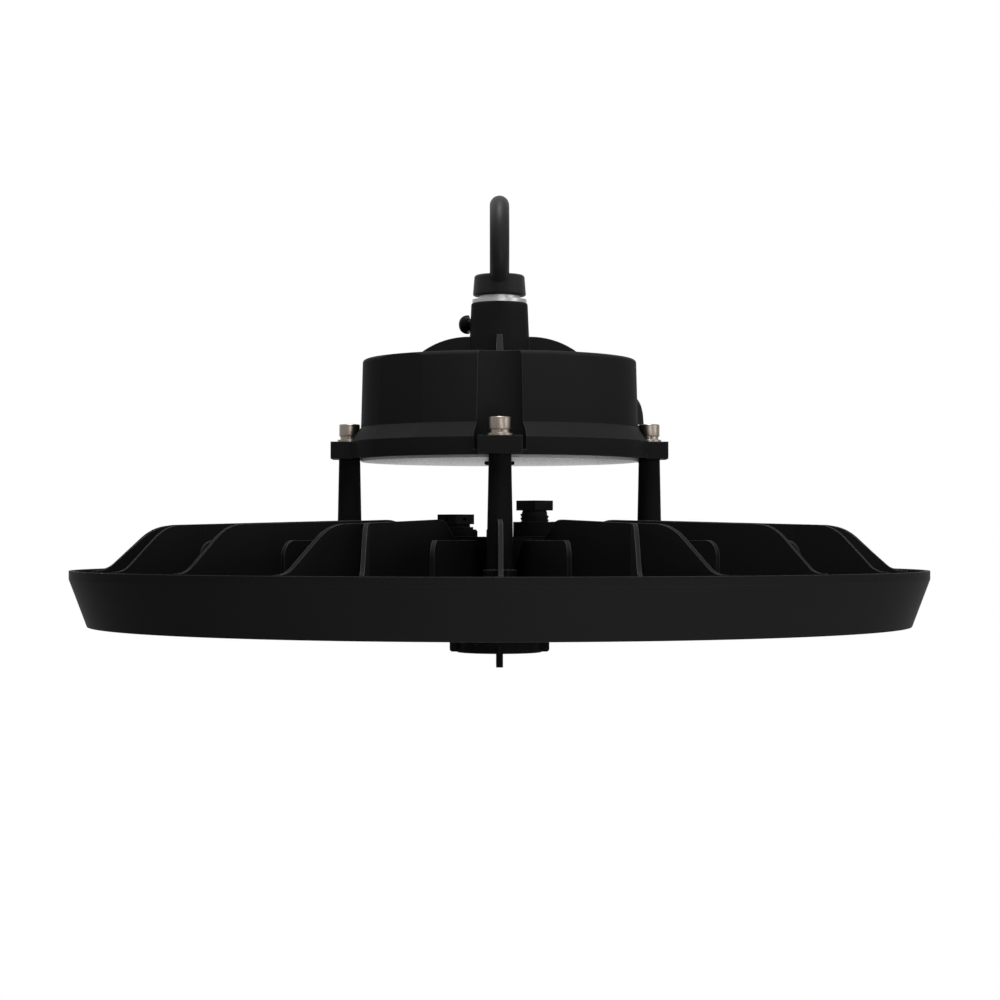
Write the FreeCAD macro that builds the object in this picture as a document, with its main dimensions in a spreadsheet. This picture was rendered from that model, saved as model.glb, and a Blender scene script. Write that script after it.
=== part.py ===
import FreeCAD, Part
import math
import os
import Sketcher

# High bay light: a finned round heat sink with the lamp in its underside, a driver housing that
# stands on four cast posts above it, and a hanging eye on top.
# Millimetres, +Z up, the side that is photographed faces -Y. The origin is the centre of the eye.

SIZES = {
    # hanging eye
    "eye_bar_d": 8.0,
    "eye_centreline_d": 32.0,
    "eye_rise": 21.4,
    "collar_height": 8.65,
    "collar_base_r": 11.0,
    "collar_top_r": 10.3,
    "collar_edge": 1.2,
    "collar_foot": 0.8,
    "eye_thread_d": 10.0,
    "eye_thread_length": 20.0,
    "thread_chamfer": 1.0,
    "thread_gap": 0.05,
    "washer_gap": 0.25,
    "slit_lean": 25.0,
    "eye_spring_d": 17.0,
    "eye_spring_thick": 1.5,
    "eye_spring_slit": 1.3,
    "eye_spring_turn": 200.0,
    "eye_washer_d": 22.4,
    "eye_washer_thick": 1.5,
    # hub, its ribs and its lock screw
    "hub_rise": 23.6,
    "hub_top_r": 11.65,
    "hub_base_r": 12.7,
    "hub_edge": 0.8,
    "hub_foot": 1.2,
    "hub_bore_depth": 18.0,
    "rib_arc_r": 32.7,
    "rib_rise": 9.8,
    "rib_top_thick": 2.0,
    "rib_foot_thick": 3.2,
    "lock_drop": 8.5,
    "lock_turn": 168.0,
    "lock_thread_d": 5.0,
    "lock_head_r": 3.9,
    "lock_head_height": 4.0,
    "lock_dome": 3.4,
    "lock_stand_off": 1.0,
    "lock_key": 3.0,
    "lock_key_depth": 1.6,
    # driver housing
    "wall_top_r": 56.6,
    "wall_foot_r": 57.4,
    "wall_height": 28.1,
    "roof_edge": 1.8,
    "roof_thick": 3.0,
    "casing_wall": 3.6,
    "flare_height": 5.7,
    "flange_r": 61.2,
    "flange_height": 7.0,
    "post_circle_r": 61.9,
    "ear_width": 17.1,
    "ear_reach": 69.2,
    "channel_r": 10.4,
    "channel_wall": 2.5,
    "facet_roof_r": 55.3,
    "facet_foot_r": 56.05,
    "facet_flange_r": 60.0,
    "facet_turn": 225.0,
    # cable gland and the pad that carries it
    "gland_turn": 45.0,
    "gland_reach": 70.0,
    "gland_pad_r": 14.3,
    "gland_pad_rise": 4.3,
    "gland_pad_lift": 0.6,
    "gland_pad_floor": 2.6,
    "gland_thread_d": 20.0,
    "gland_thread_length": 6.5,
    "gland_washer_r": 12.8,
    "gland_washer_thick": 0.5,
    "gland_hex": 24.0,
    "gland_hex_corner_r": 13.6,
    "gland_hex_height": 4.4,
    "gland_hex_turn": 0.0,
    "gland_neck_r": 8.6,
    "gland_nut_gap": 0.7,
    "gland_nut_r": 13.4,
    "gland_nut_shoulder_r": 12.1,
    "gland_nut_mouth_r": 7.6,
    "gland_nut_height": 15.0,
    "gland_nut_draft": 0.35,
    "gland_nut_round": 10.0,
    "gland_nut_edge": 1.0,
    "gland_bore_r": 6.4,
    "cable_bore_r": 4.2,
    "cable_bore_lip": 0.8,
    "wire_duct_width": 13.0,
    "wire_duct_height": 4.0,
    # base plate of the housing
    "plate_r": 57.0,
    "plate_thick": 2.0,
    "plate_proud": 1.1,
    "plate_gap": 0.4,
    "gasket_thick": 1.0,
    "plate_screw_r": 54.6,
    "plate_screw_d": 2.5,
    "plate_screw_head_d": 4.0,
    "plate_screw_length": 6.5,
    "plate_screw_key": 1.5,
    "plate_screw_key_depth": 0.9,
    "screw_end_room": 0.5,
    "grommet_r": 5.0,
    "grommet_lip": 1.2,
    "grommet_bore_r": 3.1,
    # driver and terminal block inside the housing
    "driver_length": 80.0,
    "driver_width": 54.0,
    "driver_height": 28.0,
    "driver_corner": 4.0,
    "driver_foot_length": 94.0,
    "driver_foot_width": 16.0,
    "driver_foot_thick": 2.0,
    "driver_lift": 4.0,
    "driver_stand_r": 3.0,
    "driver_screw_reach": 43.5,
    "driver_screw_d": 3.0,
    "driver_screw_head_r": 2.7,
    "driver_screw_head_height": 1.5,
    "driver_screw_dome": 0.75,
    "terminal_length": 30.0,
    "terminal_width": 14.0,
    "terminal_height": 13.0,
    "terminal_reach": 37.0,
    "terminal_poles": 3,
    "terminal_hole_r": 1.8,
    # screws that hold the housing on the posts
    "post_screw_d": 5.0,
    "post_screw_head_d": 8.5,
    "post_screw_head_height": 5.0,
    "post_screw_edge": 0.4,
    "post_screw_key": 4.0,
    "post_screw_key_depth": 2.5,
    "post_screw_grip": 18.0,
    "screw_hole_gap": 0.25,
    "post_spring_d": 7.6,
    "post_spring_thick": 1.4,
    "post_spring_slit": 0.9,
    "post_washer_d": 10.0,
    "post_washer_thick": 1.0,
    # posts
    "post_length": 45.6,
    "post_top_r": 4.4,
    "post_foot_r": 5.35,
    "root_r": 6.6,
    "root_rise": 0.85,
    "root_tail_reach": 10.6,
    "root_tail_width": 6.6,
    # heat sink dish
    "rim_r": 175.0,
    "rim_foot_r": 167.9,
    "rim_wall": 2.2,
    "lip_wall": 1.7,
    "band_height": 3.4,
    "skirt_height": 19.0,
    "skirt_round": 3.0,
    "floor_drop": 2.6,
    "web_thick": 4.0,
    # fins
    "sectors": 8,
    "fin_thick": 1.6,
    "fin_inner_r": 36.0,
    "fin_outer_r": 167.0,
    "fin_tail_rise": 0.2,
    "tail_run": 5.1,
    "crest_inner_r": 58.6,
    "crest_inner_rise": 20.4,
    "crest_inner_round": 15.0,
    "crest_run": 24.3,
    "crest_outer_rise": 18.1,
    "crest_round": 18.0,
    "tail_round": 9.0,
    "heel_run": 0.69,
    "fork_r": 125.3,
    "fork_offset": 48.0,
    "short_fin_turn": 10.1,
    "short_fin_rise": 12.3,
    "short_fin_outer_r": 138.4,
    "short_fin_inner_r": 56.0,
    "short_fin_round": 6.0,
    # drum in the middle of the heat sink
    "drum_r": 38.0,
    "drum_rise": 13.65,
    "drum_edge": 0.8,
    "drum_wall": 4.0,
    "drum_roof": 4.0,
    # plugs on the drum
    "plug_x": 14.5,
    "plug_boss_r": 8.85,
    "plug_boss_rise": 6.1,
    "plug_thread_d": 12.0,
    "plug_thread_pitch": 1.5,
    "plug_thread_depth": 0.8,
    "plug_neck_r": 5.0,
    "plug_lift": 4.75,
    "plug_hex": 15.0,
    "plug_hex_height": 4.0,
    "plug_hex_turn": 30.0,
    "plug_grip": 9.0,
    "plug_ridges": 9,
    "breather_x": 18.0,
    "breather_boss_r": 8.95,
    "breather_boss_rise": 3.0,
    "breather_boss_edge": 0.7,
    "breather_seal_r": 7.2,
    "breather_seal_thick": 0.6,
    "breather_neck_r": 5.5,
    "breather_neck_height": 1.55,
    "breather_collar": 0.4,
    "breather_grip": 7.2,
    "breather_teeth": 18,
    "breather_tooth_width": 0.8,
    "breather_tooth_proud": 0.35,
    "breather_vent_r": 0.7,
    "inlet_boss_r": 5.4,
    "inlet_boss_rise": 2.9,
    "inlet_bore_r": 3.6,
    "inlet_seal_bore_r": 2.4,
    "inlet_seal_lip": 0.9,
    "inlet_seal_lip_rise": 0.8,
    # lamp in the underside
    "board_inner_r": 36.0,
    "board_outer_r": 128.0,
    "board_thick": 1.6,
    "chip_width": 3.5,
    "chip_height": 0.7,
    "led_ring_first_r": 56.0,
    "led_ring_step": 28.0,
    "led_rings": 3,
    "led_ring_gain": 7,
    "dome_r": 9.0,
    "dome_rise": 4.6,
    "dome_root": 0.5,
    "lens_r": 152.0,
    "lens_thick": 3.0,
    "lens_edge": 1.0,
    "lens_room": 2.6,
    "lens_seat_r": 141.0,
    "seal_inner_r": 133.0,
    "seal_outer_r": 139.5,
    "lens_screw_r": 146.5,
    "lens_screw_d": 4.0,
    "lens_screw_head_d": 7.6,
    "lens_screw_head_height": 2.6,
    "lens_screw_dome": 1.4,
    "lens_screw_key": 2.0,
    "lens_screw_key_depth": 1.3,
    "lens_screw_bite": 3.0,
    "lens_bore_depth": 3.2,
    "lens_screws": 12,
    # sensor socket and its cap
    "socket_flange_r": 22.5,
    "socket_flange_height": 6.5,
    "socket_edge": 1.2,
    "socket_collar_r": 15.2,
    "socket_collar_height": 3.2,
    "socket_collar_edge": 0.8,
    "socket_floor": 2.0,
    "socket_neck_r": 9.8,
    "socket_neck_length": 11.0,
    "socket_bore_r": 6.0,
    "socket_seal_r": 21.0,
    "socket_seal_thick": 1.0,
    "socket_nut_hex": 27.0,
    "socket_nut_height": 5.0,
    "cap_r": 17.9,
    "cap_height": 14.3,
    "cap_roof": 2.4,
    "cap_edge": 0.8,
    "cap_lap": 1.5,
    "cap_lug_r": 20.5,
    "cap_lug_width": 9.0,
    "cap_lug_corner": 1.2,
    "cap_lug_drop": 1.0,
    "cap_lug_lift": 0.35,
    "grip_thick": 2.8,
    "grip_drop": 5.65,
    "grip_length": 33.0,
    "grip_round": 2.4,
    "grip_rib_width": 2.6,
    "grip_rib_proud": 0.5,
}

# Levels, from the eye down, as expressions of the sheet's cells.
COLLAR_BASE = "(0 - Dims.eye_rise)"
SPRING_BASE = f"({COLLAR_BASE} - Dims.eye_spring_thick)"
HUB_TOP = f"({SPRING_BASE} - Dims.eye_washer_thick)"
ROOF_TOP = f"({HUB_TOP} - Dims.hub_rise)"
WALL_FOOT = f"({ROOF_TOP} - Dims.wall_height)"
FLANGE_TOP = f"({WALL_FOOT} - Dims.flare_height)"
FLANGE_BASE = f"({FLANGE_TOP} - Dims.flange_height)"
PLATE_BASE = f"({FLANGE_BASE} - Dims.plate_proud)"
PLATE_TOP = f"({PLATE_BASE} + Dims.plate_thick)"
LEDGE = f"({PLATE_TOP} + Dims.gasket_thick)"
GLAND_SEAT = f"({FLANGE_TOP} + Dims.gland_pad_rise)"
RIM_TOP = f"({FLANGE_BASE} - Dims.post_length)"
BAND_BASE = f"({RIM_TOP} - Dims.band_height)"
RIM_BASE = f"({BAND_BASE} - Dims.skirt_height)"
FLOOR = f"({RIM_TOP} - Dims.floor_drop)"
WEB_BASE = f"({FLOOR} - Dims.web_thick)"
DRUM_TOP = f"({RIM_TOP} + Dims.drum_rise)"
LENS_TOP = f"({WEB_BASE} - Dims.lens_room)"
LENS_BASE = f"({LENS_TOP} - Dims.lens_thick)"
SOCKET_TOP = f"({LENS_BASE} - Dims.socket_seal_thick)"
SOCKET_FACE = f"({SOCKET_TOP} - Dims.socket_flange_height)"
CAP_BASE = f"({SOCKET_FACE} - Dims.cap_height)"

# A cut runs this far past the face that it opens.
PAST = 2.0
POST_COUNT = 4
SIDE_COUNT = 6

doc = FreeCAD.newDocument("high_bay_light")
sheet = doc.addObject("Spreadsheet::Sheet", "Dims")
for row, (alias, size) in enumerate(SIZES.items(), start=1):
    sheet.set(f"A{row}", str(size))
    sheet.setAlias(f"A{row}", alias)
doc.recompute()

sub_parts = []


def number(expression):
    """The number that an expression of the sheet's cells comes to."""
    return float(sheet.evalExpression(str(expression)))


def tie(item, prop, expression):
    """Bind a property to an expression of the sheet's cells."""
    item.setExpression(prop, str(expression))


def place(item, x=0, y=0, z=0, turn=0):
    """Put an item at a point, turned about the vertical."""
    item.Placement = FreeCAD.Placement(
        FreeCAD.Vector(number(x), number(y), number(z)),
        FreeCAD.Rotation(FreeCAD.Vector(0, 0, 1), number(turn)),
    )
    for axis, expression in zip("xyz", (x, y, z)):
        tie(item, f"Placement.Base.{axis}", expression)
    tie(item, "Placement.Rotation.Angle", turn)
    return item


def around(reach, turn):
    """The point at a reach from the axis, in a direction in degrees from +X, as two expressions."""
    return f"({reach}) * cos({turn})", f"({reach}) * sin({turn})"


def rod(radius, height, x=0, y=0, z=0):
    """An upright cylinder that stands on a level."""
    item = doc.addObject("Part::Cylinder", "rod")
    tie(item, "Radius", radius)
    tie(item, "Height", height)
    return place(item, x, y, z)


def hexagon(across_flats, height, z=0, turn=0):
    """A hexagonal prism on the axis, one corner towards +X."""
    item = doc.addObject("Part::Prism", "hexagon")
    item.Polygon = SIDE_COUNT
    tie(item, "Circumradius", f"({across_flats}) / 2 / cos(30)")
    tie(item, "Height", height)
    return place(item, 0, 0, z, turn)


def beam(x0, x1, width, z0, z1, turn=0, offset=0):
    """A block that runs outwards from the axis in one direction, its width to both sides of a line."""
    item = doc.addObject("Part::Box", "beam")
    tie(item, "Length", f"({x1}) - ({x0})")
    tie(item, "Width", width)
    tie(item, "Height", f"({z1}) - ({z0})")
    side = f"(({offset}) - ({width}) / 2)"
    x = f"({x0}) * cos({turn}) - {side} * sin({turn})"
    y = f"({x0}) * sin({turn}) + {side} * cos({turn})"
    return place(item, x, y, z0, turn)


def joined(*items):
    """Items fused into one."""
    item = doc.addObject("Part::MultiFuse", "joined")
    item.Shapes = list(items)
    return item


def cut(base, *tools):
    """A base with tools taken out of it."""
    item = doc.addObject("Part::Cut", "cut")
    item.Base = base
    item.Tool = tools[0] if len(tools) == 1 else joined(*tools)
    return item


def common(first, second):
    """What two items share."""
    item = doc.addObject("Part::Common", "common")
    item.Base = first
    item.Tool = second
    return item


def group(*items):
    """Separate solids held together as one item."""
    item = doc.addObject("Part::Compound", "group")
    item.Links = list(items)
    return item


def copy_of(item, x=0, y=0, z=0, turn=0):
    """A linked copy of an item at another place."""
    link = doc.addObject("App::Link", "copy")
    link.LinkedObject = item
    link.LinkTransform = True
    return place(link, x, y, z, turn)


def laid(item, turn, level):
    """An upright item laid along a radius at a level, its top outwards."""
    lying = group(item)
    lying.Placement.Rotation = FreeCAD.Rotation(FreeCAD.Vector(0, 1, 0), 90)
    return group(copy_of(lying, 0, 0, level, turn))


def ring_of(item, count, reach=0, start=0, z=0):
    """Linked copies of an item, evenly spaced about the axis, each turned to face outwards."""
    copies = []
    for index in range(count):
        turn = f"({start}) + {360 / count * index}"
        x, y = around(reach, turn)
        copies.append(copy_of(item, x, y, z, turn))
    return copies


def name(item, label):
    """Label an item as a sub-part of the light."""
    item.Label = label
    sub_parts.append(item)
    return item


def rounding(corner, before, after, radius):
    """Tangent points and centre of a round that fills a corner between two straight lines."""
    towards = (before - corner).normalize()
    onwards = (after - corner).normalize()
    half = towards.getAngle(onwards) / 2
    reach = radius / math.tan(half)
    middle = corner + (towards + onwards).normalize() * (radius / math.sin(half))
    return corner + towards * reach, corner + onwards * reach, middle


def draw(sketch, corners):
    """Draw a closed outline through corners (across, up) or (across, up, radius of the round)."""
    points = [FreeCAD.Vector(number(c[0]), number(c[1]), 0) for c in corners]
    count = len(corners)
    starts, ends, middles = list(points), list(points), {}
    for i, corner in enumerate(corners):
        if len(corner) == 3:
            before, after = points[i - 1], points[(i + 1) % count]
            ends[i], starts[i], middles[i] = rounding(points[i], before, after, number(corner[2]))
    for i in range(count):
        sketch.addGeometry(Part.LineSegment(starts[i], ends[(i + 1) % count]), False)
    for i, corner in enumerate(corners):
        line_in, line_out = (i - 1) % count, i
        if i not in middles:
            sketch.addConstraint(Sketcher.Constraint("Coincident", line_in, 2, line_out, 1))
            pin = (line_out, 1)
        else:
            tangent = (ends[i], starts[i], middles[i])
            pin = round_corner(sketch, points[i], tangent, (line_in, line_out), corner[2])
        for kind, expression in (("DistanceX", corner[0]), ("DistanceY", corner[1])):
            index = sketch.addConstraint(Sketcher.Constraint(kind, -1, 1, *pin, number(expression)))
            tie(sketch, f"Constraints[{index}]", expression)


def round_corner(sketch, corner, tangent, lines, radius):
    """Add the arc of a rounded corner, tangent to both its lines, and the point where they meet."""
    first, last, middle = tangent
    line_in, line_out = lines
    left_turn = (first - corner).cross(last - corner).z < 0
    angles = [math.atan2(p.y - middle.y, p.x - middle.x) for p in (first, last)]
    if not left_turn:
        angles.reverse()
    if angles[1] < angles[0]:
        angles[1] += 2 * math.pi
    circle = Part.Circle(middle, FreeCAD.Vector(0, 0, 1), number(radius))
    arc = sketch.addGeometry(Part.ArcOfCircle(circle, *angles), False)
    point = sketch.addGeometry(Part.Point(corner), True)
    arc_in, arc_out = (1, 2) if left_turn else (2, 1)
    sketch.addConstraint(Sketcher.Constraint("Tangent", line_in, 2, arc, arc_in))
    sketch.addConstraint(Sketcher.Constraint("Tangent", arc, arc_out, line_out, 1))
    sketch.addConstraint(Sketcher.Constraint("PointOnObject", point, 1, line_in))
    sketch.addConstraint(Sketcher.Constraint("PointOnObject", point, 1, line_out))
    index = sketch.addConstraint(Sketcher.Constraint("Radius", arc, number(radius)))
    tie(sketch, f"Constraints[{index}]", radius)
    return point, 1


def sketched(plane, corners):
    """A new body and, on one of its own planes, the sketch of a closed outline."""
    body = doc.addObject("PartDesign::Body", "body")
    sketch = body.newObject("Sketcher::SketchObject", "outline")
    own_plane = next(f for f in body.Origin.OriginFeatures if f.Role == plane)
    sketch.AttachmentSupport = [(own_plane, "")]
    sketch.MapMode = "FlatFace"
    draw(sketch, corners)
    return body, sketch


def turned(*corners):
    """A body of revolution about the vertical, from its outline (radius, level)."""
    body, sketch = sketched("XZ_Plane", corners)
    revolution = body.newObject("PartDesign::Revolution", "turning")
    revolution.Profile = sketch
    revolution.ReferenceAxis = (sketch, ["V_Axis"])
    revolution.Angle = 360
    return body


def plate(plane, width, *corners):
    """A body padded equally to both sides of one of its planes."""
    body, sketch = sketched(plane, corners)
    pad = body.newObject("PartDesign::Pad", "pad")
    pad.Profile = sketch
    pad.SideType = "Symmetric"
    tie(pad, "Length", width)
    return body


def ring(inner, outer, low, high):
    """A flat ring between two levels."""
    return turned((inner, low), (outer, low), (outer, high), (inner, high))


def spring_washer(bore_r, outer_r, thick, slit):
    """A split washer, standing on level 0, with its slanted slit towards -Y."""
    lean = "Dims.slit_lean"
    blade = doc.addObject("Part::Box", "slit")
    tie(blade, "Length", slit)
    tie(blade, "Width", f"({outer_r}) * 2")
    tie(blade, "Height", f"({thick}) * 4")
    blade.Placement.Rotation = FreeCAD.Rotation(FreeCAD.Vector(0, 1, 0), number(lean))
    tie(blade, "Placement.Rotation.Angle", lean)
    tie(blade, "Placement.Base.x", f"0 - ({slit}) / 2 - ({thick}) * 2 * sin({lean})")
    tie(blade, "Placement.Base.y", f"0 - ({outer_r}) * 2")
    tie(blade, "Placement.Base.z", f"0 - ({thick}) * 1.5")
    return cut(ring(bore_r, outer_r, 0, thick), blade)


def threaded_corners(root_r, crest_r, pitch, low, turns):
    """Outline corners of a few thread ridges, from a low level upwards."""
    corners = []
    for step in range(turns):
        corners.append((root_r, f"({low}) + ({pitch}) * {step}"))
        corners.append((crest_r, f"({low}) + ({pitch}) * {step + 0.5}"))
    return corners


# Hanging eye: a closed ring whose foot runs into a collar, with a threaded shank below it.
def hanging_eye():
    bar_ring = doc.addObject("Part::Torus", "bar_ring")
    tie(bar_ring, "Radius1", "Dims.eye_centreline_d / 2")
    tie(bar_ring, "Radius2", "Dims.eye_bar_d / 2")
    bar_ring.Placement.Rotation = FreeCAD.Rotation(FreeCAD.Vector(0, 1, 0), 90)
    tip = f"({COLLAR_BASE} - Dims.eye_thread_length)"
    chamfer = "Dims.thread_chamfer"
    shank_r = "Dims.eye_thread_d / 2"
    collar = turned(
        (0, tip),
        (f"{shank_r} - {chamfer}", tip),
        (shank_r, f"{tip} + {chamfer}"),
        (shank_r, COLLAR_BASE),
        ("Dims.collar_base_r", COLLAR_BASE, "Dims.collar_foot"),
        ("Dims.collar_top_r", f"{COLLAR_BASE} + Dims.collar_height", "Dims.collar_edge"),
        (0, f"{COLLAR_BASE} + Dims.collar_height"),
    )
    name(joined(bar_ring, collar), "hanging_eye")
    bore_r = "Dims.eye_thread_d / 2 + Dims.washer_gap"
    spring = spring_washer(bore_r, "Dims.eye_spring_d / 2", "Dims.eye_spring_thick", "Dims.eye_spring_slit")
    name(group(copy_of(spring, z=SPRING_BASE, turn="Dims.eye_spring_turn")), "eye_spring_washer")
    name(ring(bore_r, "Dims.eye_washer_d / 2", HUB_TOP, SPRING_BASE), "eye_flat_washer")


# Lock screw: a domed screw through the side of the hub, whose tip holds the eye's thread.
def eye_lock_screw():
    hub_r = "(Dims.hub_top_r + (Dims.hub_base_r - Dims.hub_top_r) * Dims.lock_drop / Dims.hub_rise)"
    head_at = f"({hub_r} + Dims.lock_stand_off)"
    head_top = f"({head_at} + Dims.lock_head_height)"
    tip = "(Dims.eye_thread_d / 2 + Dims.thread_gap * 2)"
    thread_r = "Dims.lock_thread_d / 2"
    screw = turned(
        (0, tip),
        (thread_r, tip),
        (thread_r, head_at),
        ("Dims.lock_head_r", head_at),
        ("Dims.lock_head_r", head_top, "Dims.lock_dome"),
        (0, head_top),
    )
    key = hexagon("Dims.lock_key", f"Dims.lock_key_depth + {PAST}", f"{head_top} - Dims.lock_key_depth")
    name(laid(cut(screw, key), "Dims.lock_turn", f"{HUB_TOP} - Dims.lock_drop"), "eye_lock_screw")


# Driver housing: one casting, with the hub, four ribs, channels for the screws, two facets for
# cable entries, four square ears on the posts and a pad that carries the cable gland.
def driver_housing():
    shell = turned(
        (0, HUB_TOP),
        (0, FLANGE_BASE),
        ("Dims.flange_r", FLANGE_BASE),
        ("Dims.flange_r", FLANGE_TOP),
        ("Dims.wall_foot_r", WALL_FOOT),
        ("Dims.wall_top_r", ROOF_TOP, "Dims.roof_edge"),
        ("Dims.hub_base_r", ROOF_TOP, "Dims.hub_foot"),
        ("Dims.hub_top_r", HUB_TOP, "Dims.hub_edge"),
    )
    channel = rod("Dims.channel_r", f"{ROOF_TOP} - {LEDGE} + {PAST}")
    channels = ring_of(channel, POST_COUNT, "Dims.post_circle_r", 0, LEDGE)
    facet = housing_facet()
    facets = ring_of(facet, 2, 0, "Dims.facet_turn")
    rib = housing_rib()
    ear = beam(
        "Dims.post_circle_r - Dims.channel_r - Dims.channel_wall / 2",
        "Dims.ear_reach", "Dims.ear_width", FLANGE_BASE, FLANGE_TOP,
    )
    pad_x, pad_y = around("Dims.gland_reach", "Dims.gland_turn")
    pad_base = f"({FLANGE_BASE} + Dims.gland_pad_lift)"
    pad = rod("Dims.gland_pad_r", f"{GLAND_SEAT} - {pad_base}", pad_x, pad_y, pad_base)
    pad_neck = beam(
        "Dims.wall_top_r - Dims.casing_wall * 2", "Dims.gland_reach",
        "Dims.gland_pad_r * 2", pad_base, GLAND_SEAT, "Dims.gland_turn",
    )
    core = cut(shell, *channels, *facets)
    body = joined(core, *ring_of(rib, POST_COUNT), *ring_of(ear, POST_COUNT), pad, pad_neck)

    cavity_r = "(Dims.wall_top_r - Dims.casing_wall)"
    low = f"({FLANGE_BASE} - {PAST})"
    room = rod(cavity_r, f"{ROOF_TOP} - Dims.roof_thick - {low}", 0, 0, low)
    web = rod("Dims.channel_r + Dims.channel_wall", f"{ROOF_TOP} - {low}")
    cavity = cut(room, *ring_of(web, POST_COUNT, "Dims.post_circle_r", 0, low))
    plate_seat = rod("Dims.plate_r + Dims.plate_gap", f"{LEDGE} - {low}", 0, 0, low)
    name(cut(body, cavity, plate_seat, *housing_holes(pad_x, pad_y, pad_base)), "driver_housing")


def housing_facet():
    """The cutter that leaves a flat on the wall, the flare and the flange."""
    outside = "Dims.ear_reach"
    width = "Dims.wall_foot_r"
    return plate(
        "XZ_Plane", width,
        ("Dims.facet_roof_r", f"{ROOF_TOP} + {PAST}"),
        ("Dims.facet_roof_r", ROOF_TOP),
        ("Dims.facet_foot_r", WALL_FOOT),
        ("Dims.facet_flange_r", FLANGE_TOP),
        ("Dims.facet_flange_r", f"{FLANGE_BASE} - {PAST}"),
        (outside, f"{FLANGE_BASE} - {PAST}"),
        (outside, f"{ROOF_TOP} + {PAST}"),
    )


def housing_rib():
    """A drafted rib between the hub and the roof, its top an arc that comes down to the roof."""
    arc = doc.addObject("Part::Cylinder", "rib_arc")
    tie(arc, "Radius", "Dims.rib_arc_r")
    tie(arc, "Height", "Dims.rib_foot_thick * 2")
    arc.Placement.Rotation = FreeCAD.Rotation(FreeCAD.Vector(1, 0, 0), 90)
    tie(arc, "Placement.Base.x", "Dims.hub_base_r")
    tie(arc, "Placement.Base.y", "Dims.rib_foot_thick")
    tie(arc, "Placement.Base.z", f"{ROOF_TOP} + Dims.rib_rise - Dims.rib_arc_r")
    sunk = f"({ROOF_TOP} - Dims.roof_thick / 2)"
    blade = plate(
        "YZ_Plane", "(Dims.hub_base_r + Dims.rib_arc_r) * 2",
        ("0 - Dims.rib_foot_thick / 2", sunk),
        ("Dims.rib_foot_thick / 2", sunk),
        ("Dims.rib_top_thick / 2", f"{ROOF_TOP} + Dims.rib_rise"),
        ("0 - Dims.rib_top_thick / 2", f"{ROOF_TOP} + Dims.rib_rise"),
    )
    outer_half = beam(
        0, "Dims.hub_base_r + Dims.rib_arc_r", "Dims.rib_foot_thick * 2",
        sunk, f"{ROOF_TOP} + Dims.rib_rise + {PAST}",
    )
    return common(common(arc, blade), outer_half)


def housing_holes(pad_x, pad_y, pad_base):
    """The bores of the housing: eye thread, lock screw, post screws, plate screws and cable entry."""
    eye_r = "Dims.eye_thread_d / 2 + Dims.thread_gap"
    eye_bore = rod(eye_r, f"Dims.hub_bore_depth + {PAST}", 0, 0, f"{HUB_TOP} - Dims.hub_bore_depth")
    lock_hole = rod("Dims.lock_thread_d / 2 + Dims.thread_gap", f"Dims.hub_base_r + {PAST}")
    lock_bore = laid(lock_hole, "Dims.lock_turn", f"{HUB_TOP} - Dims.lock_drop")
    post_hole = rod("Dims.post_screw_d / 2 + Dims.screw_hole_gap",
                    f"Dims.flange_height + {2 * PAST}")
    plate_hole = rod("Dims.plate_screw_d / 2 + Dims.thread_gap", f"Dims.plate_screw_length + {PAST}")
    gland_floor = f"({pad_base} + Dims.gland_pad_floor)"
    gland_bore = rod("Dims.gland_thread_d / 2 + Dims.thread_gap",
                     f"{GLAND_SEAT} - {gland_floor} + {PAST}", pad_x, pad_y, gland_floor)
    duct = beam(
        "Dims.wall_top_r - Dims.casing_wall * 3", "Dims.gland_reach",
        "Dims.wire_duct_width", gland_floor, f"{gland_floor} + Dims.wire_duct_height", "Dims.gland_turn",
    )
    return [
        eye_bore, lock_bore, gland_bore, duct,
        *ring_of(post_hole, POST_COUNT, "Dims.post_circle_r", 0, f"{FLANGE_BASE} - {PAST}"),
        *ring_of(plate_hole, POST_COUNT, "Dims.plate_screw_r", 0, f"{PLATE_BASE} - {PAST}"),
    ]


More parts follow.
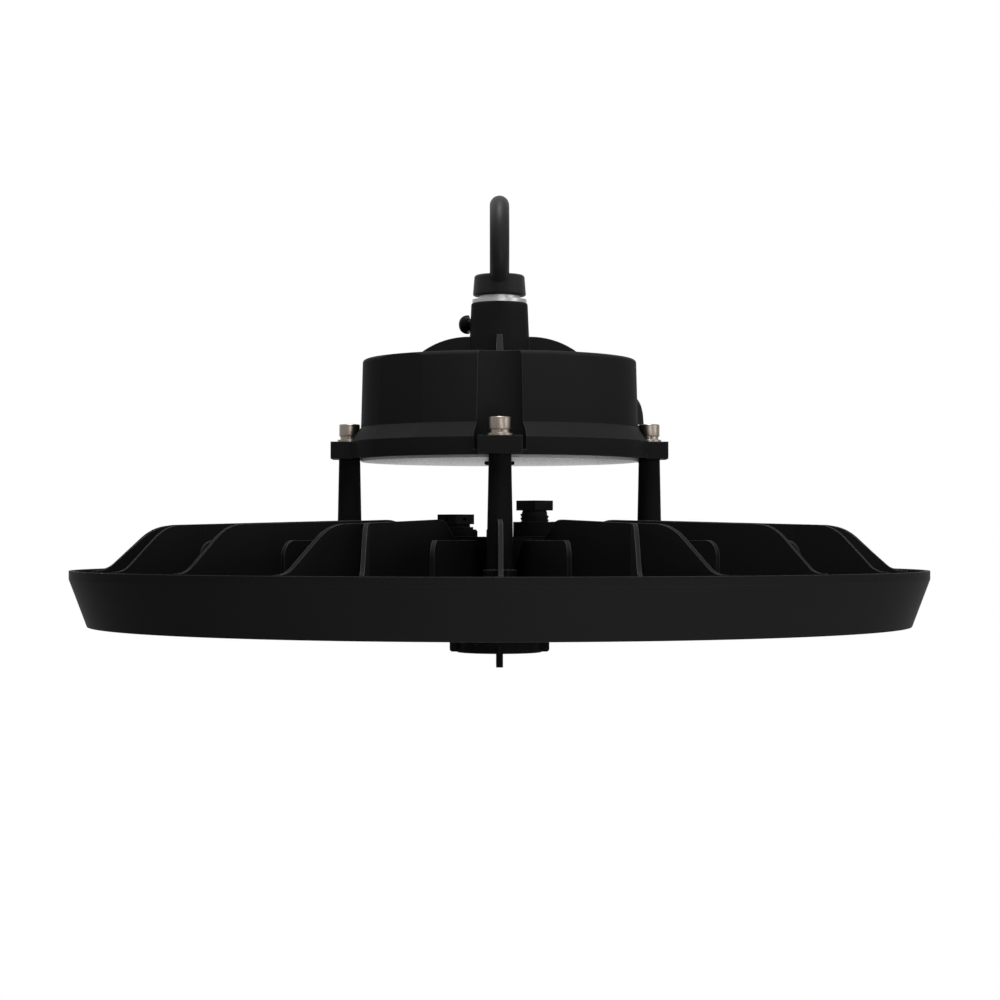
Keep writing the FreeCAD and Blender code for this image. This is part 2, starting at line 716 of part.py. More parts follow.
# Base plate that closes the housing, its gasket, its countersunk screws and the lead's grommet.
def housing_base():
    disc = rod("Dims.plate_r", "Dims.plate_thick", 0, 0, PLATE_BASE)
    shank_r = "Dims.plate_screw_d / 2"
    head_r = "Dims.plate_screw_head_d / 2"
    countersink = f"({head_r} - {shank_r})"
    screw_hole = turned(
        (0, -PAST), (f"{head_r} + Dims.thread_gap", -PAST), (f"{head_r} + Dims.thread_gap", 0),
        (f"{shank_r} + Dims.thread_gap", countersink),
        (f"{shank_r} + Dims.thread_gap", f"Dims.plate_thick + {PAST}"), (0, f"Dims.plate_thick + {PAST}"),
    )
    lead_hole = rod("Dims.grommet_r", f"Dims.plate_thick + {2 * PAST}", 0, 0, f"{PLATE_BASE} - {PAST}")
    driver_hole = rod("Dims.driver_screw_d / 2 + Dims.thread_gap", f"Dims.plate_thick + {2 * PAST}")
    seats = ring_of(screw_hole, POST_COUNT, "Dims.plate_screw_r", 0, PLATE_BASE)
    driver_seats = ring_of(driver_hole, 2, "Dims.driver_screw_reach", "Dims.gland_turn + 90",
                           f"{PLATE_BASE} - {PAST}")
    name(cut(disc, lead_hole, *seats, *driver_seats), "housing_base_plate")

    band = ring("Dims.wall_top_r - Dims.casing_wall", "Dims.plate_r", PLATE_TOP, LEDGE)
    pierce = rod(f"{shank_r} + Dims.thread_gap", f"Dims.gasket_thick + {2 * PAST}")
    pierces = ring_of(pierce, POST_COUNT, "Dims.plate_screw_r", 0, f"{PLATE_TOP} - {PAST}")
    name(cut(band, *pierces), "housing_gasket")

    tip = "Dims.plate_screw_length - Dims.screw_end_room"
    screw = turned((0, 0), (head_r, 0), (shank_r, countersink), (shank_r, tip), (0, tip))
    key = hexagon("Dims.plate_screw_key", f"Dims.plate_screw_key_depth + {PAST}", -PAST)
    screws = ring_of(cut(screw, key), POST_COUNT, "Dims.plate_screw_r", 0, PLATE_BASE)
    name(group(*screws), "plate_screws")

    lip_r = "(Dims.grommet_r + Dims.grommet_lip)"
    lip = "Dims.grommet_lip"
    bore_r = "Dims.grommet_bore_r"
    name(turned(
        (bore_r, f"{PLATE_BASE} - {lip}"), (lip_r, f"{PLATE_BASE} - {lip}", f"{lip} * 0.5"),
        (lip_r, PLATE_BASE), ("Dims.grommet_r", PLATE_BASE), ("Dims.grommet_r", PLATE_TOP),
        (lip_r, PLATE_TOP), (lip_r, f"{PLATE_TOP} + {lip}"), (bore_r, f"{PLATE_TOP} + {lip}"),
    ), "lead_grommet")


# What the housing holds: the driver on its feet, the terminal block and the driver's screws.
def housing_contents():
    across = "Dims.gland_turn + 90"
    lift = "Dims.driver_lift"
    foot_top = f"({PLATE_TOP} + {lift} + Dims.driver_foot_thick)"
    can = plate(
        "XY_Plane", "Dims.driver_height",
        ("0 - Dims.driver_length / 2", "0 - Dims.driver_width / 2", "Dims.driver_corner"),
        ("Dims.driver_length / 2", "0 - Dims.driver_width / 2", "Dims.driver_corner"),
        ("Dims.driver_length / 2", "Dims.driver_width / 2", "Dims.driver_corner"),
        ("0 - Dims.driver_length / 2", "Dims.driver_width / 2", "Dims.driver_corner"),
    )
    can_at = copy_of(can, 0, 0, f"{foot_top} + Dims.driver_height / 2", across)
    half = "(Dims.driver_foot_length / 2)"
    foot = beam(f"0 - {half}", half, "Dims.driver_foot_width", f"{PLATE_TOP} + {lift}", foot_top, across)
    stand = rod("Dims.driver_stand_r", lift)
    stands = ring_of(stand, 2, "Dims.driver_screw_reach", across, PLATE_TOP)
    hole = rod("Dims.driver_screw_d / 2 + Dims.thread_gap", "Dims.driver_height")
    holes = ring_of(hole, 2, "Dims.driver_screw_reach", across, f"{PLATE_TOP} - {PAST}")
    name(cut(joined(can_at, foot, *stands), *holes), "led_driver")

    seat = f"({lift} + Dims.driver_foot_thick)"
    head_top = f"({seat} + Dims.driver_screw_head_height)"
    shank_r = "Dims.driver_screw_d / 2"
    screw = turned(
        (0, "0 - Dims.plate_thick"), (shank_r, "0 - Dims.plate_thick"), (shank_r, seat),
        ("Dims.driver_screw_head_r", seat), ("Dims.driver_screw_head_r", head_top, "Dims.driver_screw_dome"),
        (0, head_top),
    )
    name(group(*ring_of(screw, 2, "Dims.driver_screw_reach", across, PLATE_TOP)), "driver_screws")

    reach = "Dims.terminal_reach"
    block = beam(
        f"{reach} - Dims.terminal_width / 2", f"{reach} + Dims.terminal_width / 2", "Dims.terminal_length",
        PLATE_TOP, f"{PLATE_TOP} + Dims.terminal_height", "Dims.gland_turn",
    )
    poles = []
    count = int(number("Dims.terminal_poles"))
    for pole in range(count):
        offset = f"(Dims.terminal_length / {count} * ({pole} - ({count} - 1) / 2))"
        x = f"{reach} * cos(Dims.gland_turn) - {offset} * sin(Dims.gland_turn)"
        y = f"{reach} * sin(Dims.gland_turn) + {offset} * cos(Dims.gland_turn)"
        poles.append(rod("Dims.terminal_hole_r", "Dims.terminal_height", x, y,
                         f"{PLATE_TOP} + Dims.terminal_height / 2"))
    name(cut(block, *poles), "terminal_block")


# Screws, spring washers and flat washers on the ears, one set over each post.
def post_fasteners():
    washer_top = f"({FLANGE_TOP} + Dims.post_washer_thick)"
    head_seat = f"({washer_top} + Dims.post_spring_thick)"
    bore_r = "Dims.post_screw_d / 2 + Dims.screw_hole_gap"
    shank_r = "Dims.post_screw_d / 2"
    head_r = "Dims.post_screw_head_d / 2"
    head = "Dims.post_screw_head_height"
    shank = turned(
        (0, "0 - Dims.post_screw_grip"), (shank_r, "0 - Dims.post_screw_grip"), (shank_r, 0),
        (head_r, 0), (head_r, head, "Dims.post_screw_edge"), (0, head),
    )
    key_depth = "Dims.post_screw_key_depth"
    key = hexagon("Dims.post_screw_key", f"{key_depth} + {PAST}", f"{head} - {key_depth}")
    screw = cut(shank, key)
    spring = spring_washer(
        bore_r, "Dims.post_spring_d / 2", "Dims.post_spring_thick", "Dims.post_spring_slit",
    )
    washer = ring(bore_r, "Dims.post_washer_d / 2", 0, "Dims.post_washer_thick")
    sets = ((screw, head_seat, "post_screws"), (spring, washer_top, "post_spring_washers"),
            (washer, FLANGE_TOP, "post_flat_washers"))
    for piece, level, label in sets:
        copies = []
        for index in range(POST_COUNT):
            x, y = around("Dims.post_circle_r", 360 / POST_COUNT * index)
            copies.append(copy_of(piece, x, y, level))
        name(group(*copies), label)


# Cable gland on its pad: a washer, a body with a hexagon, a domed nut and the seal inside it.
def supply_gland():
    x, y = around("Dims.gland_reach", "Dims.gland_turn")
    thread_r = "(Dims.gland_thread_d / 2)"
    washer_top = "Dims.gland_washer_thick"
    hex_top = f"({washer_top} + Dims.gland_hex_height)"
    nut_base = f"({hex_top} + Dims.gland_nut_gap)"
    nut_top = f"({nut_base} + Dims.gland_nut_height)"
    neck_top = f"({nut_base} + Dims.gland_nut_height * 0.6)"
    hex_turn = "Dims.gland_hex_turn"
    washer = ring(thread_r, "Dims.gland_washer_r", 0, washer_top)
    name(group(copy_of(washer, x, y, GLAND_SEAT)), "gland_washer")

    stem = ring("Dims.gland_bore_r", thread_r, "0 - Dims.gland_thread_length", hex_top)
    neck = ring("Dims.gland_bore_r", "Dims.gland_neck_r", washer_top, neck_top)
    flats = hexagon("Dims.gland_hex", "Dims.gland_hex_height", washer_top)
    softened = turned(
        (0, washer_top), ("Dims.gland_hex_corner_r", washer_top),
        ("Dims.gland_hex_corner_r", f"{hex_top} - Dims.gland_nut_edge"),
        ("Dims.gland_hex / 2", hex_top), (0, hex_top),
    )
    through = rod("Dims.gland_bore_r", "Dims.gland_hex", 0, 0, "0 - Dims.gland_thread_length")
    body = joined(stem, neck, cut(common(flats, softened), through))
    name(group(copy_of(body, x, y, GLAND_SEAT, hex_turn)), "gland_body")

    dome = turned(
        (0, nut_base), ("Dims.gland_nut_r", nut_base),
        ("Dims.gland_nut_r - Dims.gland_nut_draft", f"{nut_base} + Dims.gland_nut_height * 0.3"),
        ("Dims.gland_nut_shoulder_r", neck_top, "Dims.gland_nut_round"),
        ("Dims.gland_nut_mouth_r", nut_top, "Dims.gland_nut_edge"), (0, nut_top),
    )
    nut_flats = hexagon("Dims.gland_hex", "Dims.gland_nut_height", nut_base)
    neck_clear = "Dims.gland_neck_r + Dims.thread_gap"
    room = rod(neck_clear, f"{neck_top} - {nut_base} + {PAST}", 0, 0, f"{nut_base} - {PAST}")
    mouth = rod("Dims.gland_bore_r", "Dims.gland_nut_height * 2", 0, 0, nut_base)
    nut = cut(common(dome, nut_flats), room, mouth)
    name(group(copy_of(nut, x, y, GLAND_SEAT, hex_turn)), "gland_nut")

    seal = turned(
        ("Dims.cable_bore_r", hex_top), ("Dims.gland_bore_r - Dims.thread_gap", hex_top),
        ("Dims.gland_bore_r - Dims.thread_gap", nut_top),
        ("Dims.cable_bore_r + Dims.cable_bore_lip", nut_top),
        ("Dims.cable_bore_r", f"{nut_top} - Dims.cable_bore_lip"),
    )
    name(group(copy_of(seal, x, y, GLAND_SEAT)), "gland_seal")


# Heat sink: one casting of a dish with a rim, the fins on its floor, the drum and the four posts.
def heat_sink():
    inner = "(Dims.rim_r - Dims.lip_wall)"
    skirt_foot_r = "(Dims.rim_foot_r - Dims.rim_wall)"
    skirt_lean = "((Dims.rim_r - Dims.rim_foot_r) / Dims.skirt_height)"
    skirt_top_r = f"({skirt_foot_r} + {skirt_lean} * ({WEB_BASE} - {RIM_BASE}))"
    dish = turned(
        (0, FLOOR), (0, WEB_BASE), (skirt_top_r, WEB_BASE, "Dims.skirt_round"), (skirt_foot_r, RIM_BASE),
        ("Dims.rim_foot_r", RIM_BASE), ("Dims.rim_r", BAND_BASE), ("Dims.rim_r", RIM_TOP),
        (inner, RIM_TOP), (inner, FLOOR),
    )
    post = turned(
        (0, 0), ("Dims.post_foot_r", 0), ("Dims.post_top_r", "Dims.post_length + Dims.floor_drop"),
        (0, "Dims.post_length + Dims.floor_drop"),
    )
    root = rod("Dims.root_r", "Dims.floor_drop + Dims.root_rise")
    root_tail = beam(
        0, "Dims.root_tail_reach", "Dims.root_tail_width", 0, "Dims.floor_drop + Dims.root_rise",
    )
    foot = joined(post, root, root_tail)
    feet = ring_of(foot, POST_COUNT, "Dims.post_circle_r", 0, FLOOR)
    solid = joined(dish, main_fins(), short_fins(), drum(), *feet)
    name(cut(solid, *heat_sink_holes()), "heat_sink")


def main_fins():
    """Radial and forked fins, trimmed to one turned envelope that slopes down to the rim."""
    top = f"({RIM_TOP} + Dims.crest_inner_rise + {PAST})"
    low = f"({FLOOR} - Dims.web_thick / 2)"
    count = int(number("Dims.sectors"))
    crest = f"({RIM_TOP} + Dims.crest_inner_rise)"
    heel = f"({crest} - (Dims.crest_inner_r - Dims.fin_inner_r) * Dims.heel_run)"
    fork_x = f"(Dims.fork_r * cos({180 / count}))"
    radial = beam("Dims.fin_inner_r", "Dims.fin_outer_r + 1", "Dims.fin_thick", low, top)
    stem = beam("Dims.fin_inner_r", "Dims.fork_r", "Dims.fin_thick", low, top, 180 / count)
    branches = [
        beam(fork_x, "Dims.fin_outer_r", "Dims.fin_thick", low, top, 0, f"{side} * Dims.fork_offset")
        for side in (1, -1)
    ]
    sector = joined(radial, stem, *branches)
    envelope = turned(
        ("Dims.fin_inner_r", low),
        ("Dims.fin_outer_r", low),
        ("Dims.fin_outer_r", f"{RIM_TOP} + Dims.fin_tail_rise"),
        ("(Dims.fin_outer_r - Dims.tail_run)", f"{RIM_TOP} + Dims.fin_tail_rise", "Dims.tail_round"),
        ("(Dims.fin_outer_r - Dims.crest_run)", f"{RIM_TOP} + Dims.crest_outer_rise", "Dims.crest_round"),
        ("Dims.crest_inner_r", crest, "Dims.crest_inner_round"),
        ("Dims.fin_inner_r", heel),
    )
    return common(joined(*ring_of(sector, count)), envelope)


def short_fins():
    """Low fins in pairs, one to each side of every radial fin."""
    low = f"({FLOOR} - Dims.web_thick / 2)"
    top = f"({RIM_TOP} + Dims.short_fin_rise)"
    heel_r = f"(Dims.short_fin_inner_r - ({top} - {low}) / Dims.heel_run)"
    fin = plate(
        "XZ_Plane", "Dims.fin_thick",
        (heel_r, low), ("Dims.short_fin_outer_r", low),
        ("Dims.short_fin_outer_r", top, "Dims.short_fin_round"), ("Dims.short_fin_inner_r", top),
    )
    count = int(number("Dims.sectors"))
    left = ring_of(fin, count, 0, "Dims.short_fin_turn")
    right = ring_of(fin, count, 0, "0 - Dims.short_fin_turn")
    return joined(*left, *right)


def drum():
    """The round drum in the middle, hollow from below, with bosses for the plugs and the lead."""
    body = turned(
        (0, FLOOR), ("Dims.drum_r", FLOOR), ("Dims.drum_r", DRUM_TOP, "Dims.drum_edge"), (0, DRUM_TOP),
    )
    sunk = "Dims.drum_edge"
    base = f"({DRUM_TOP} - {sunk})"
    plug_boss = rod("Dims.plug_boss_r", f"Dims.plug_boss_rise + {sunk}", "Dims.plug_x", 0, base)
    edge = "Dims.breather_boss_edge"
    breather_boss = turned(
        (0, 0), ("Dims.breather_boss_r", 0),
        ("Dims.breather_boss_r", f"Dims.breather_boss_rise + {sunk} - {edge}"),
        (f"Dims.breather_boss_r - {edge}", f"Dims.breather_boss_rise + {sunk}"),
        (0, f"Dims.breather_boss_rise + {sunk}"),
    )
    place(breather_boss, "0 - Dims.breather_x", 0, base)
    inlet_boss = rod("Dims.inlet_boss_r", f"Dims.inlet_boss_rise + {sunk}", 0, 0, base)
    return joined(body, plug_boss, breather_boss, inlet_boss)


def heat_sink_holes():
    """The drum's hollow and the threaded holes for plugs, posts and lens."""
    drum_room_r = "(Dims.drum_r - Dims.drum_wall)"
    low = f"({WEB_BASE} - {PAST})"
    room = rod(drum_room_r, f"{DRUM_TOP} - Dims.drum_roof - {low}", 0, 0, low)
    reach = f"({DRUM_TOP} - Dims.drum_roof - {PAST})"
    tall = f"Dims.drum_roof + Dims.plug_boss_rise + {3 * PAST}"
    thread_r = "Dims.plug_thread_d / 2 + Dims.thread_gap"
    plug_bore = rod(thread_r, tall, "Dims.plug_x", 0, reach)
    breather_bore = rod(thread_r, tall, "0 - Dims.breather_x", 0, reach)
    inlet_bore = rod("Dims.inlet_bore_r", tall, 0, 0, reach)
    post_depth = "(Dims.post_screw_grip - Dims.flange_height)"
    post_bore = rod("Dims.post_screw_d / 2 + Dims.thread_gap", f"{post_depth} + {PAST}")
    post_bores = ring_of(post_bore, POST_COUNT, "Dims.post_circle_r", 0, f"{FLANGE_BASE} - {post_depth}")
    lens_bore = rod("Dims.lens_screw_d / 2 + Dims.thread_gap", f"Dims.lens_bore_depth + {PAST}")
    count = int(number("Dims.lens_screws"))
    lens_bores = ring_of(lens_bore, count, "Dims.lens_screw_r", 360 / count / 2, low)
    return [room, plug_bore, breather_bore, inlet_bore, *post_bores, *lens_bores]


# Plugs on the drum: a blanking plug that is not screwed home, a breather, and the lead inlet's seal.
def drum_plugs():
    thread_r = "(Dims.plug_thread_d / 2)"
    root_r = "(Dims.plug_thread_d / 2 - Dims.plug_thread_depth)"
    grip = "Dims.plug_grip"
    turns = int(number("Dims.plug_ridges"))
    ridges = threaded_corners(root_r, thread_r, "Dims.plug_thread_pitch", f"0 - {grip}", turns)
    stem_top = f"(0 - {grip} + Dims.plug_thread_pitch * {turns})"
    stem = turned(
        (0, f"0 - {grip}"), *ridges, ("Dims.plug_neck_r", stem_top),
        ("Dims.plug_neck_r", f"Dims.plug_lift + {PAST}"), (0, f"Dims.plug_lift + {PAST}"),
    )
    head = hexagon("Dims.plug_hex", "Dims.plug_hex_height", "Dims.plug_lift", "Dims.plug_hex_turn")
    plug = joined(stem, head)
    name(group(copy_of(plug, "Dims.plug_x", 0, f"{DRUM_TOP} + Dims.plug_boss_rise")), "blanking_plug")

    x = "0 - Dims.breather_x"
    seat = f"({DRUM_TOP} + Dims.breather_boss_rise)"
    seal_top = "Dims.breather_seal_thick"
    seal = ring(thread_r, "Dims.breather_seal_r", 0, seal_top)
    name(group(copy_of(seal, x, 0, seat)), "breather_seal")

    tip = "0 - Dims.breather_grip"
    collar_top = f"({seal_top} + Dims.breather_collar)"
    neck_r = "Dims.breather_neck_r"
    hex_base = f"({seal_top} + Dims.breather_neck_height)"
    stem_top = f"({hex_base} + Dims.plug_hex_height / 2)"
    breather_stem = turned(
        (0, tip), (thread_r, tip), (thread_r, seal_top),
        ("Dims.breather_seal_r", seal_top), ("Dims.breather_seal_r", collar_top),
        (neck_r, collar_top), (neck_r, stem_top), (0, stem_top),
    )
    tooth = beam(
        f"{neck_r} - Dims.breather_tooth_width", f"{neck_r} + Dims.breather_tooth_proud",
        "Dims.breather_tooth_width", collar_top, hex_base,
    )
    teeth = ring_of(tooth, int(number("Dims.breather_teeth")))
    cap = hexagon("Dims.plug_hex", "Dims.plug_hex_height", hex_base, "Dims.plug_hex_turn")
    vent = laid(rod("Dims.breather_vent_r", "Dims.plug_hex"), 0, f"{hex_base} + Dims.plug_hex_height / 2")
    vents = ring_of(vent, SIDE_COUNT)
    name(group(copy_of(cut(joined(breather_stem, *teeth, cap), *vents), x, 0, seat)), "breather_plug")

    inlet_top = f"({DRUM_TOP} + Dims.inlet_boss_rise)"
    seal_r = "(Dims.inlet_bore_r - Dims.thread_gap)"
    bore = "Dims.inlet_seal_bore_r"
    lip_r = f"{seal_r} + Dims.inlet_seal_lip"
    lip_top = f"{inlet_top} + Dims.inlet_seal_lip_rise"
    name(turned(
        (bore, f"{inlet_top} - Dims.drum_roof"), (seal_r, f"{inlet_top} - Dims.drum_roof"),
        (seal_r, inlet_top), (lip_r, inlet_top), (f"{lip_r} - Dims.inlet_seal_lip / 2", lip_top),
        (bore, lip_top),
    ), "lead_inlet_seal")


# Lamp: the board with its chips under the web, the lens over them, its seal and its screws.
def lamp():
    board_face = f"({WEB_BASE} - Dims.board_thick)"
    name(ring("Dims.board_inner_r", "Dims.board_outer_r", board_face, WEB_BASE), "led_board")
    half = "Dims.chip_width / 2"
    chip = beam(f"0 - {half}", half, "Dims.chip_width", f"{board_face} - Dims.chip_height", board_face)
    dome = lens_dome()
    chips, domes = [], []
    for index in range(int(number("Dims.led_rings"))):
        reach = f"Dims.led_ring_first_r + Dims.led_ring_step * {index}"
        count = int(number(f"Dims.led_ring_gain * {index + 2}"))
        chips += ring_of(chip, count, reach)
        domes += ring_of(dome, count, reach)
    name(group(*chips), "led_chips")

    disc = turned(
        ("Dims.socket_neck_r + Dims.thread_gap", LENS_BASE), ("Dims.lens_r", LENS_BASE, "Dims.lens_edge"),
        ("Dims.lens_r", WEB_BASE), ("Dims.lens_seat_r", WEB_BASE), ("Dims.lens_seat_r", LENS_TOP),
        ("Dims.socket_neck_r + Dims.thread_gap", LENS_TOP),
    )
    hole = rod("Dims.lens_screw_d / 2 + Dims.screw_hole_gap", f"{WEB_BASE} - {LENS_BASE} + {2 * PAST}")
    count = int(number("Dims.lens_screws"))
    holes = ring_of(hole, count, "Dims.lens_screw_r", 360 / count / 2, f"{LENS_BASE} - {PAST}")
    name(cut(joined(disc, *domes), *holes), "lens_plate")
    name(ring("Dims.seal_inner_r", "Dims.seal_outer_r", LENS_TOP, WEB_BASE), "lens_seal")

    shank_r = "Dims.lens_screw_d / 2"
    head_r = "Dims.lens_screw_head_d / 2"
    length = f"({WEB_BASE} - {LENS_BASE} + Dims.lens_screw_bite)"
    head_face = "(0 - Dims.lens_screw_head_height)"
    body = turned(
        (0, length), (0, head_face), (head_r, head_face, "Dims.lens_screw_dome"), (head_r, 0),
        (shank_r, 0), (shank_r, length),
    )
    key = hexagon("Dims.lens_screw_key", f"Dims.lens_screw_key_depth + {PAST}", f"{head_face} - {PAST}")
    screws = ring_of(cut(body, key), count, "Dims.lens_screw_r", 360 / count / 2, LENS_BASE)
    name(group(*screws), "lens_screws")


def lens_dome():
    """The cap of a sphere that stands out below the lens over one chip."""
    ball = doc.addObject("Part::Sphere", "dome")
    ball_r = "((Dims.dome_r * Dims.dome_r + Dims.dome_rise * Dims.dome_rise) / (2 * Dims.dome_rise))"
    tie(ball, "Radius", ball_r)
    place(ball, 0, 0, f"{LENS_BASE} - Dims.dome_rise + {ball_r}")
    low = f"({LENS_BASE} - Dims.dome_rise * 2)"
    slab = rod("Dims.dome_r * 1.2", f"{LENS_BASE} + Dims.dome_root - {low}", 0, 0, low)
    return common(ball, slab)


# Sensor socket under the lens, its seal and nut, and the twist-lock cap that closes it.
def sensor_socket():
    neck_r = "Dims.socket_neck_r"
    bore_r = "Dims.socket_bore_r"
    collar_r = "Dims.socket_collar_r"
    face = SOCKET_FACE
    floor = f"({face} + Dims.socket_floor)"
    collar_base = f"({face} - Dims.socket_collar_height)"
    neck_top = f"({SOCKET_TOP} + Dims.socket_neck_length)"
    body = turned(
        (bore_r, neck_top), (bore_r, floor), (0, floor), (0, collar_base),
        (collar_r, collar_base, "Dims.socket_collar_edge"), (collar_r, face),
        ("Dims.socket_flange_r", face, "Dims.socket_edge"), ("Dims.socket_flange_r", SOCKET_TOP),
        (neck_r, SOCKET_TOP), (neck_r, neck_top),
    )
    name(body, "sensor_socket")
    name(ring(neck_r, "Dims.socket_seal_r", SOCKET_TOP, LENS_BASE), "socket_seal")
    flats = hexagon("Dims.socket_nut_hex", "Dims.socket_nut_height", LENS_TOP)
    clear_height = f"Dims.socket_nut_height + {2 * PAST}"
    clear = rod(f"{neck_r} + Dims.thread_gap", clear_height, 0, 0, f"{LENS_TOP} - {PAST}")
    name(cut(flats, clear), "socket_nut")

    roof = f"({CAP_BASE} + Dims.cap_roof)"
    room_r = f"{collar_r} + Dims.thread_gap"
    lug_top = f"({face} - Dims.cap_lug_drop)"
    lug_foot = "Dims.cap_r - Dims.cap_lap"
    lug_base = f"({CAP_BASE} + Dims.cap_lug_lift)"
    cup = turned(
        (0, CAP_BASE), ("Dims.cap_r", CAP_BASE, "Dims.cap_edge"), ("Dims.cap_r", face),
        (room_r, face), (room_r, roof), (0, roof),
    )
    lug = plate(
        "XZ_Plane", "Dims.cap_lug_width",
        (lug_foot, lug_base), ("Dims.cap_lug_r", lug_base, "Dims.cap_lug_corner"),
        ("Dims.cap_lug_r", lug_top), (lug_foot, lug_top),
    )
    grip_base = f"({CAP_BASE} - Dims.grip_drop)"
    grip = plate(
        "YZ_Plane", "Dims.grip_thick",
        ("0 - Dims.grip_length / 2", grip_base, "Dims.grip_round"),
        ("Dims.grip_length / 2", grip_base, "Dims.grip_round"),
        ("Dims.grip_length / 2", roof), ("0 - Dims.grip_length / 2", roof),
    )
    rib = beam(
        lug_foot, "Dims.cap_r + Dims.grip_rib_proud", "Dims.grip_rib_width", lug_base, lug_top,
    )
    name(joined(cup, *ring_of(lug, 2), grip, *ring_of(rib, 2, 0, 90)), "socket_cap")


hanging_eye()
eye_lock_screw()
driver_housing()
housing_base()
housing_contents()
post_fasteners()
supply_gland()
heat_sink()
drum_plugs()
lamp()
sensor_socket()
doc.recompute()

failed = [item.Label for item in doc.Objects if {"Invalid", "Error"} & set(item.State)]
if failed:
    raise RuntimeError(f"objects that failed: {failed}")
for item in sub_parts:
    if item.Shape.isNull() or not item.Shape.isValid():
        raise RuntimeError(f"no valid shape: {item.Label}")

os.makedirs("parts", exist_ok=True)
for item in sub_parts:
    item.Shape.exportStep(f"parts/{item.Label}.step")
    print(item.Label, len(item.Shape.Solids), round(item.Shape.Volume, 1))
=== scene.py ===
import math

import bmesh
import bpy
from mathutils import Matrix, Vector


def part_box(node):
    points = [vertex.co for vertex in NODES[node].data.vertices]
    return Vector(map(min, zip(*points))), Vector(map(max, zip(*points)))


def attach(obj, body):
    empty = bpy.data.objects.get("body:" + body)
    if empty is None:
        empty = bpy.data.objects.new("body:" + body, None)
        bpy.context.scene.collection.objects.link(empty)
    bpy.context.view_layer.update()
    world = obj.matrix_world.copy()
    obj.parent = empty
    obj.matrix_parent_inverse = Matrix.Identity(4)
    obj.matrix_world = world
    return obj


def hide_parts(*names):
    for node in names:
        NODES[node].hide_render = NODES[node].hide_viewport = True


# High bay light: its looks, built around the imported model. Metres, +Z up, the photographed side
# faces -Y, and the origin is the centre of the hanging eye.

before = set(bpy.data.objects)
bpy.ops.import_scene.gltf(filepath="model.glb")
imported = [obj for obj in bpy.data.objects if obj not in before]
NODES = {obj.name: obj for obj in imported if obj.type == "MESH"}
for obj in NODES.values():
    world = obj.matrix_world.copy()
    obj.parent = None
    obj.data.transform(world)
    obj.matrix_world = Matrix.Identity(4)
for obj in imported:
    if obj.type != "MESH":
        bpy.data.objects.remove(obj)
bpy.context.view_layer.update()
MM = 0.001

# Sizes of the remade pieces, in millimetres.
POST_HEAD_R, POST_HEAD_HEIGHT = 4.25, 5.0
PLUG_X, PLUG_HEAD_TOP = 14.5, 8.75
LENS_SCREW_REACH, LENS_HEAD_HEIGHT = 146.5, 2.6
RINGS = ((56.0, 14), (84.0, 21), (112.0, 28))  # of chips: the reach, and how many


def level(node, side):
    """The lowest (0) or highest (1) level of a model node, in millimetres."""
    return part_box(node)[side].z / MM


# Where the remade pieces sit, in millimetres, read from the nodes that they stand for.
POST_HEAD_SEAT = level("post_screws", 1) - POST_HEAD_HEIGHT
POST_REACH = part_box("post_screws")[1].x / MM - POST_HEAD_R
PLUG_SEAT = level("blanking_plug", 1) - PLUG_HEAD_TOP
BOARD_FACE = level("led_board", 0)
LENS_BASE = level("lens_screws", 0) + LENS_HEAD_HEIGHT


class Value:
    """A socket that takes part in Python sums, each of which adds a Math node."""

    def __init__(self, tree, socket):
        self.tree = tree
        self.socket = socket

    def sum(self, operation, *terms, clamp=False):
        made = self.tree.nodes.new("ShaderNodeMath")
        made.operation = operation
        made.use_clamp = clamp
        for entry, term in zip(made.inputs, terms):
            feed(self.tree, entry, term)
        return Value(self.tree, made.outputs[0])

    def __add__(self, other):
        return self.sum("ADD", self, other)

    def __sub__(self, other):
        return self.sum("SUBTRACT", self, other)

    def __rsub__(self, other):
        return self.sum("SUBTRACT", other, self)

    def __mul__(self, other):
        return self.sum("MULTIPLY", self, other)

    def __truediv__(self, other):
        return self.sum("DIVIDE", self, other)

    def __pow__(self, other):
        return self.sum("POWER", self, other)

    __radd__ = __add__
    __rmul__ = __mul__

    def least(self, other):
        return self.sum("MINIMUM", self, other)

    def most(self, other):
        return self.sum("MAXIMUM", self, other)

    def size(self):
        return self.sum("ABSOLUTE", self)

    def sine(self):
        return self.sum("SINE", self)

    def kept_in(self):
        return self.sum("ADD", self, 0.0, clamp=True)


def feed(tree, entry, given):
    """Link a value to a socket, or set the socket to it."""
    if isinstance(given, Value):
        tree.links.new(given.socket, entry)
    elif hasattr(entry.default_value, "__len__") and not hasattr(given, "__len__"):
        entry.default_value = [given] * len(entry.default_value)
    elif hasattr(entry.default_value, "__len__") and len(given) < len(entry.default_value):
        entry.default_value = (*given, 1.0)
    else:
        entry.default_value = given


class Tree:
    """A node tree, with one method that adds any node."""

    def __init__(self, tree):
        self.tree = tree

    def node(self, kind, settings=None, entries=None, give=0):
        """Add a node: its settings first, then its sockets by name or number. Gives one of its outputs."""
        made = self.tree.nodes.new(kind)
        for key, setting in (settings or {}).items():
            setattr(made, key, setting)
        for key, given in (entries or {}).items():
            feed(self.tree, made.inputs[key], given)
        return Value(self.tree, made.outputs[give]) if len(made.outputs) else made


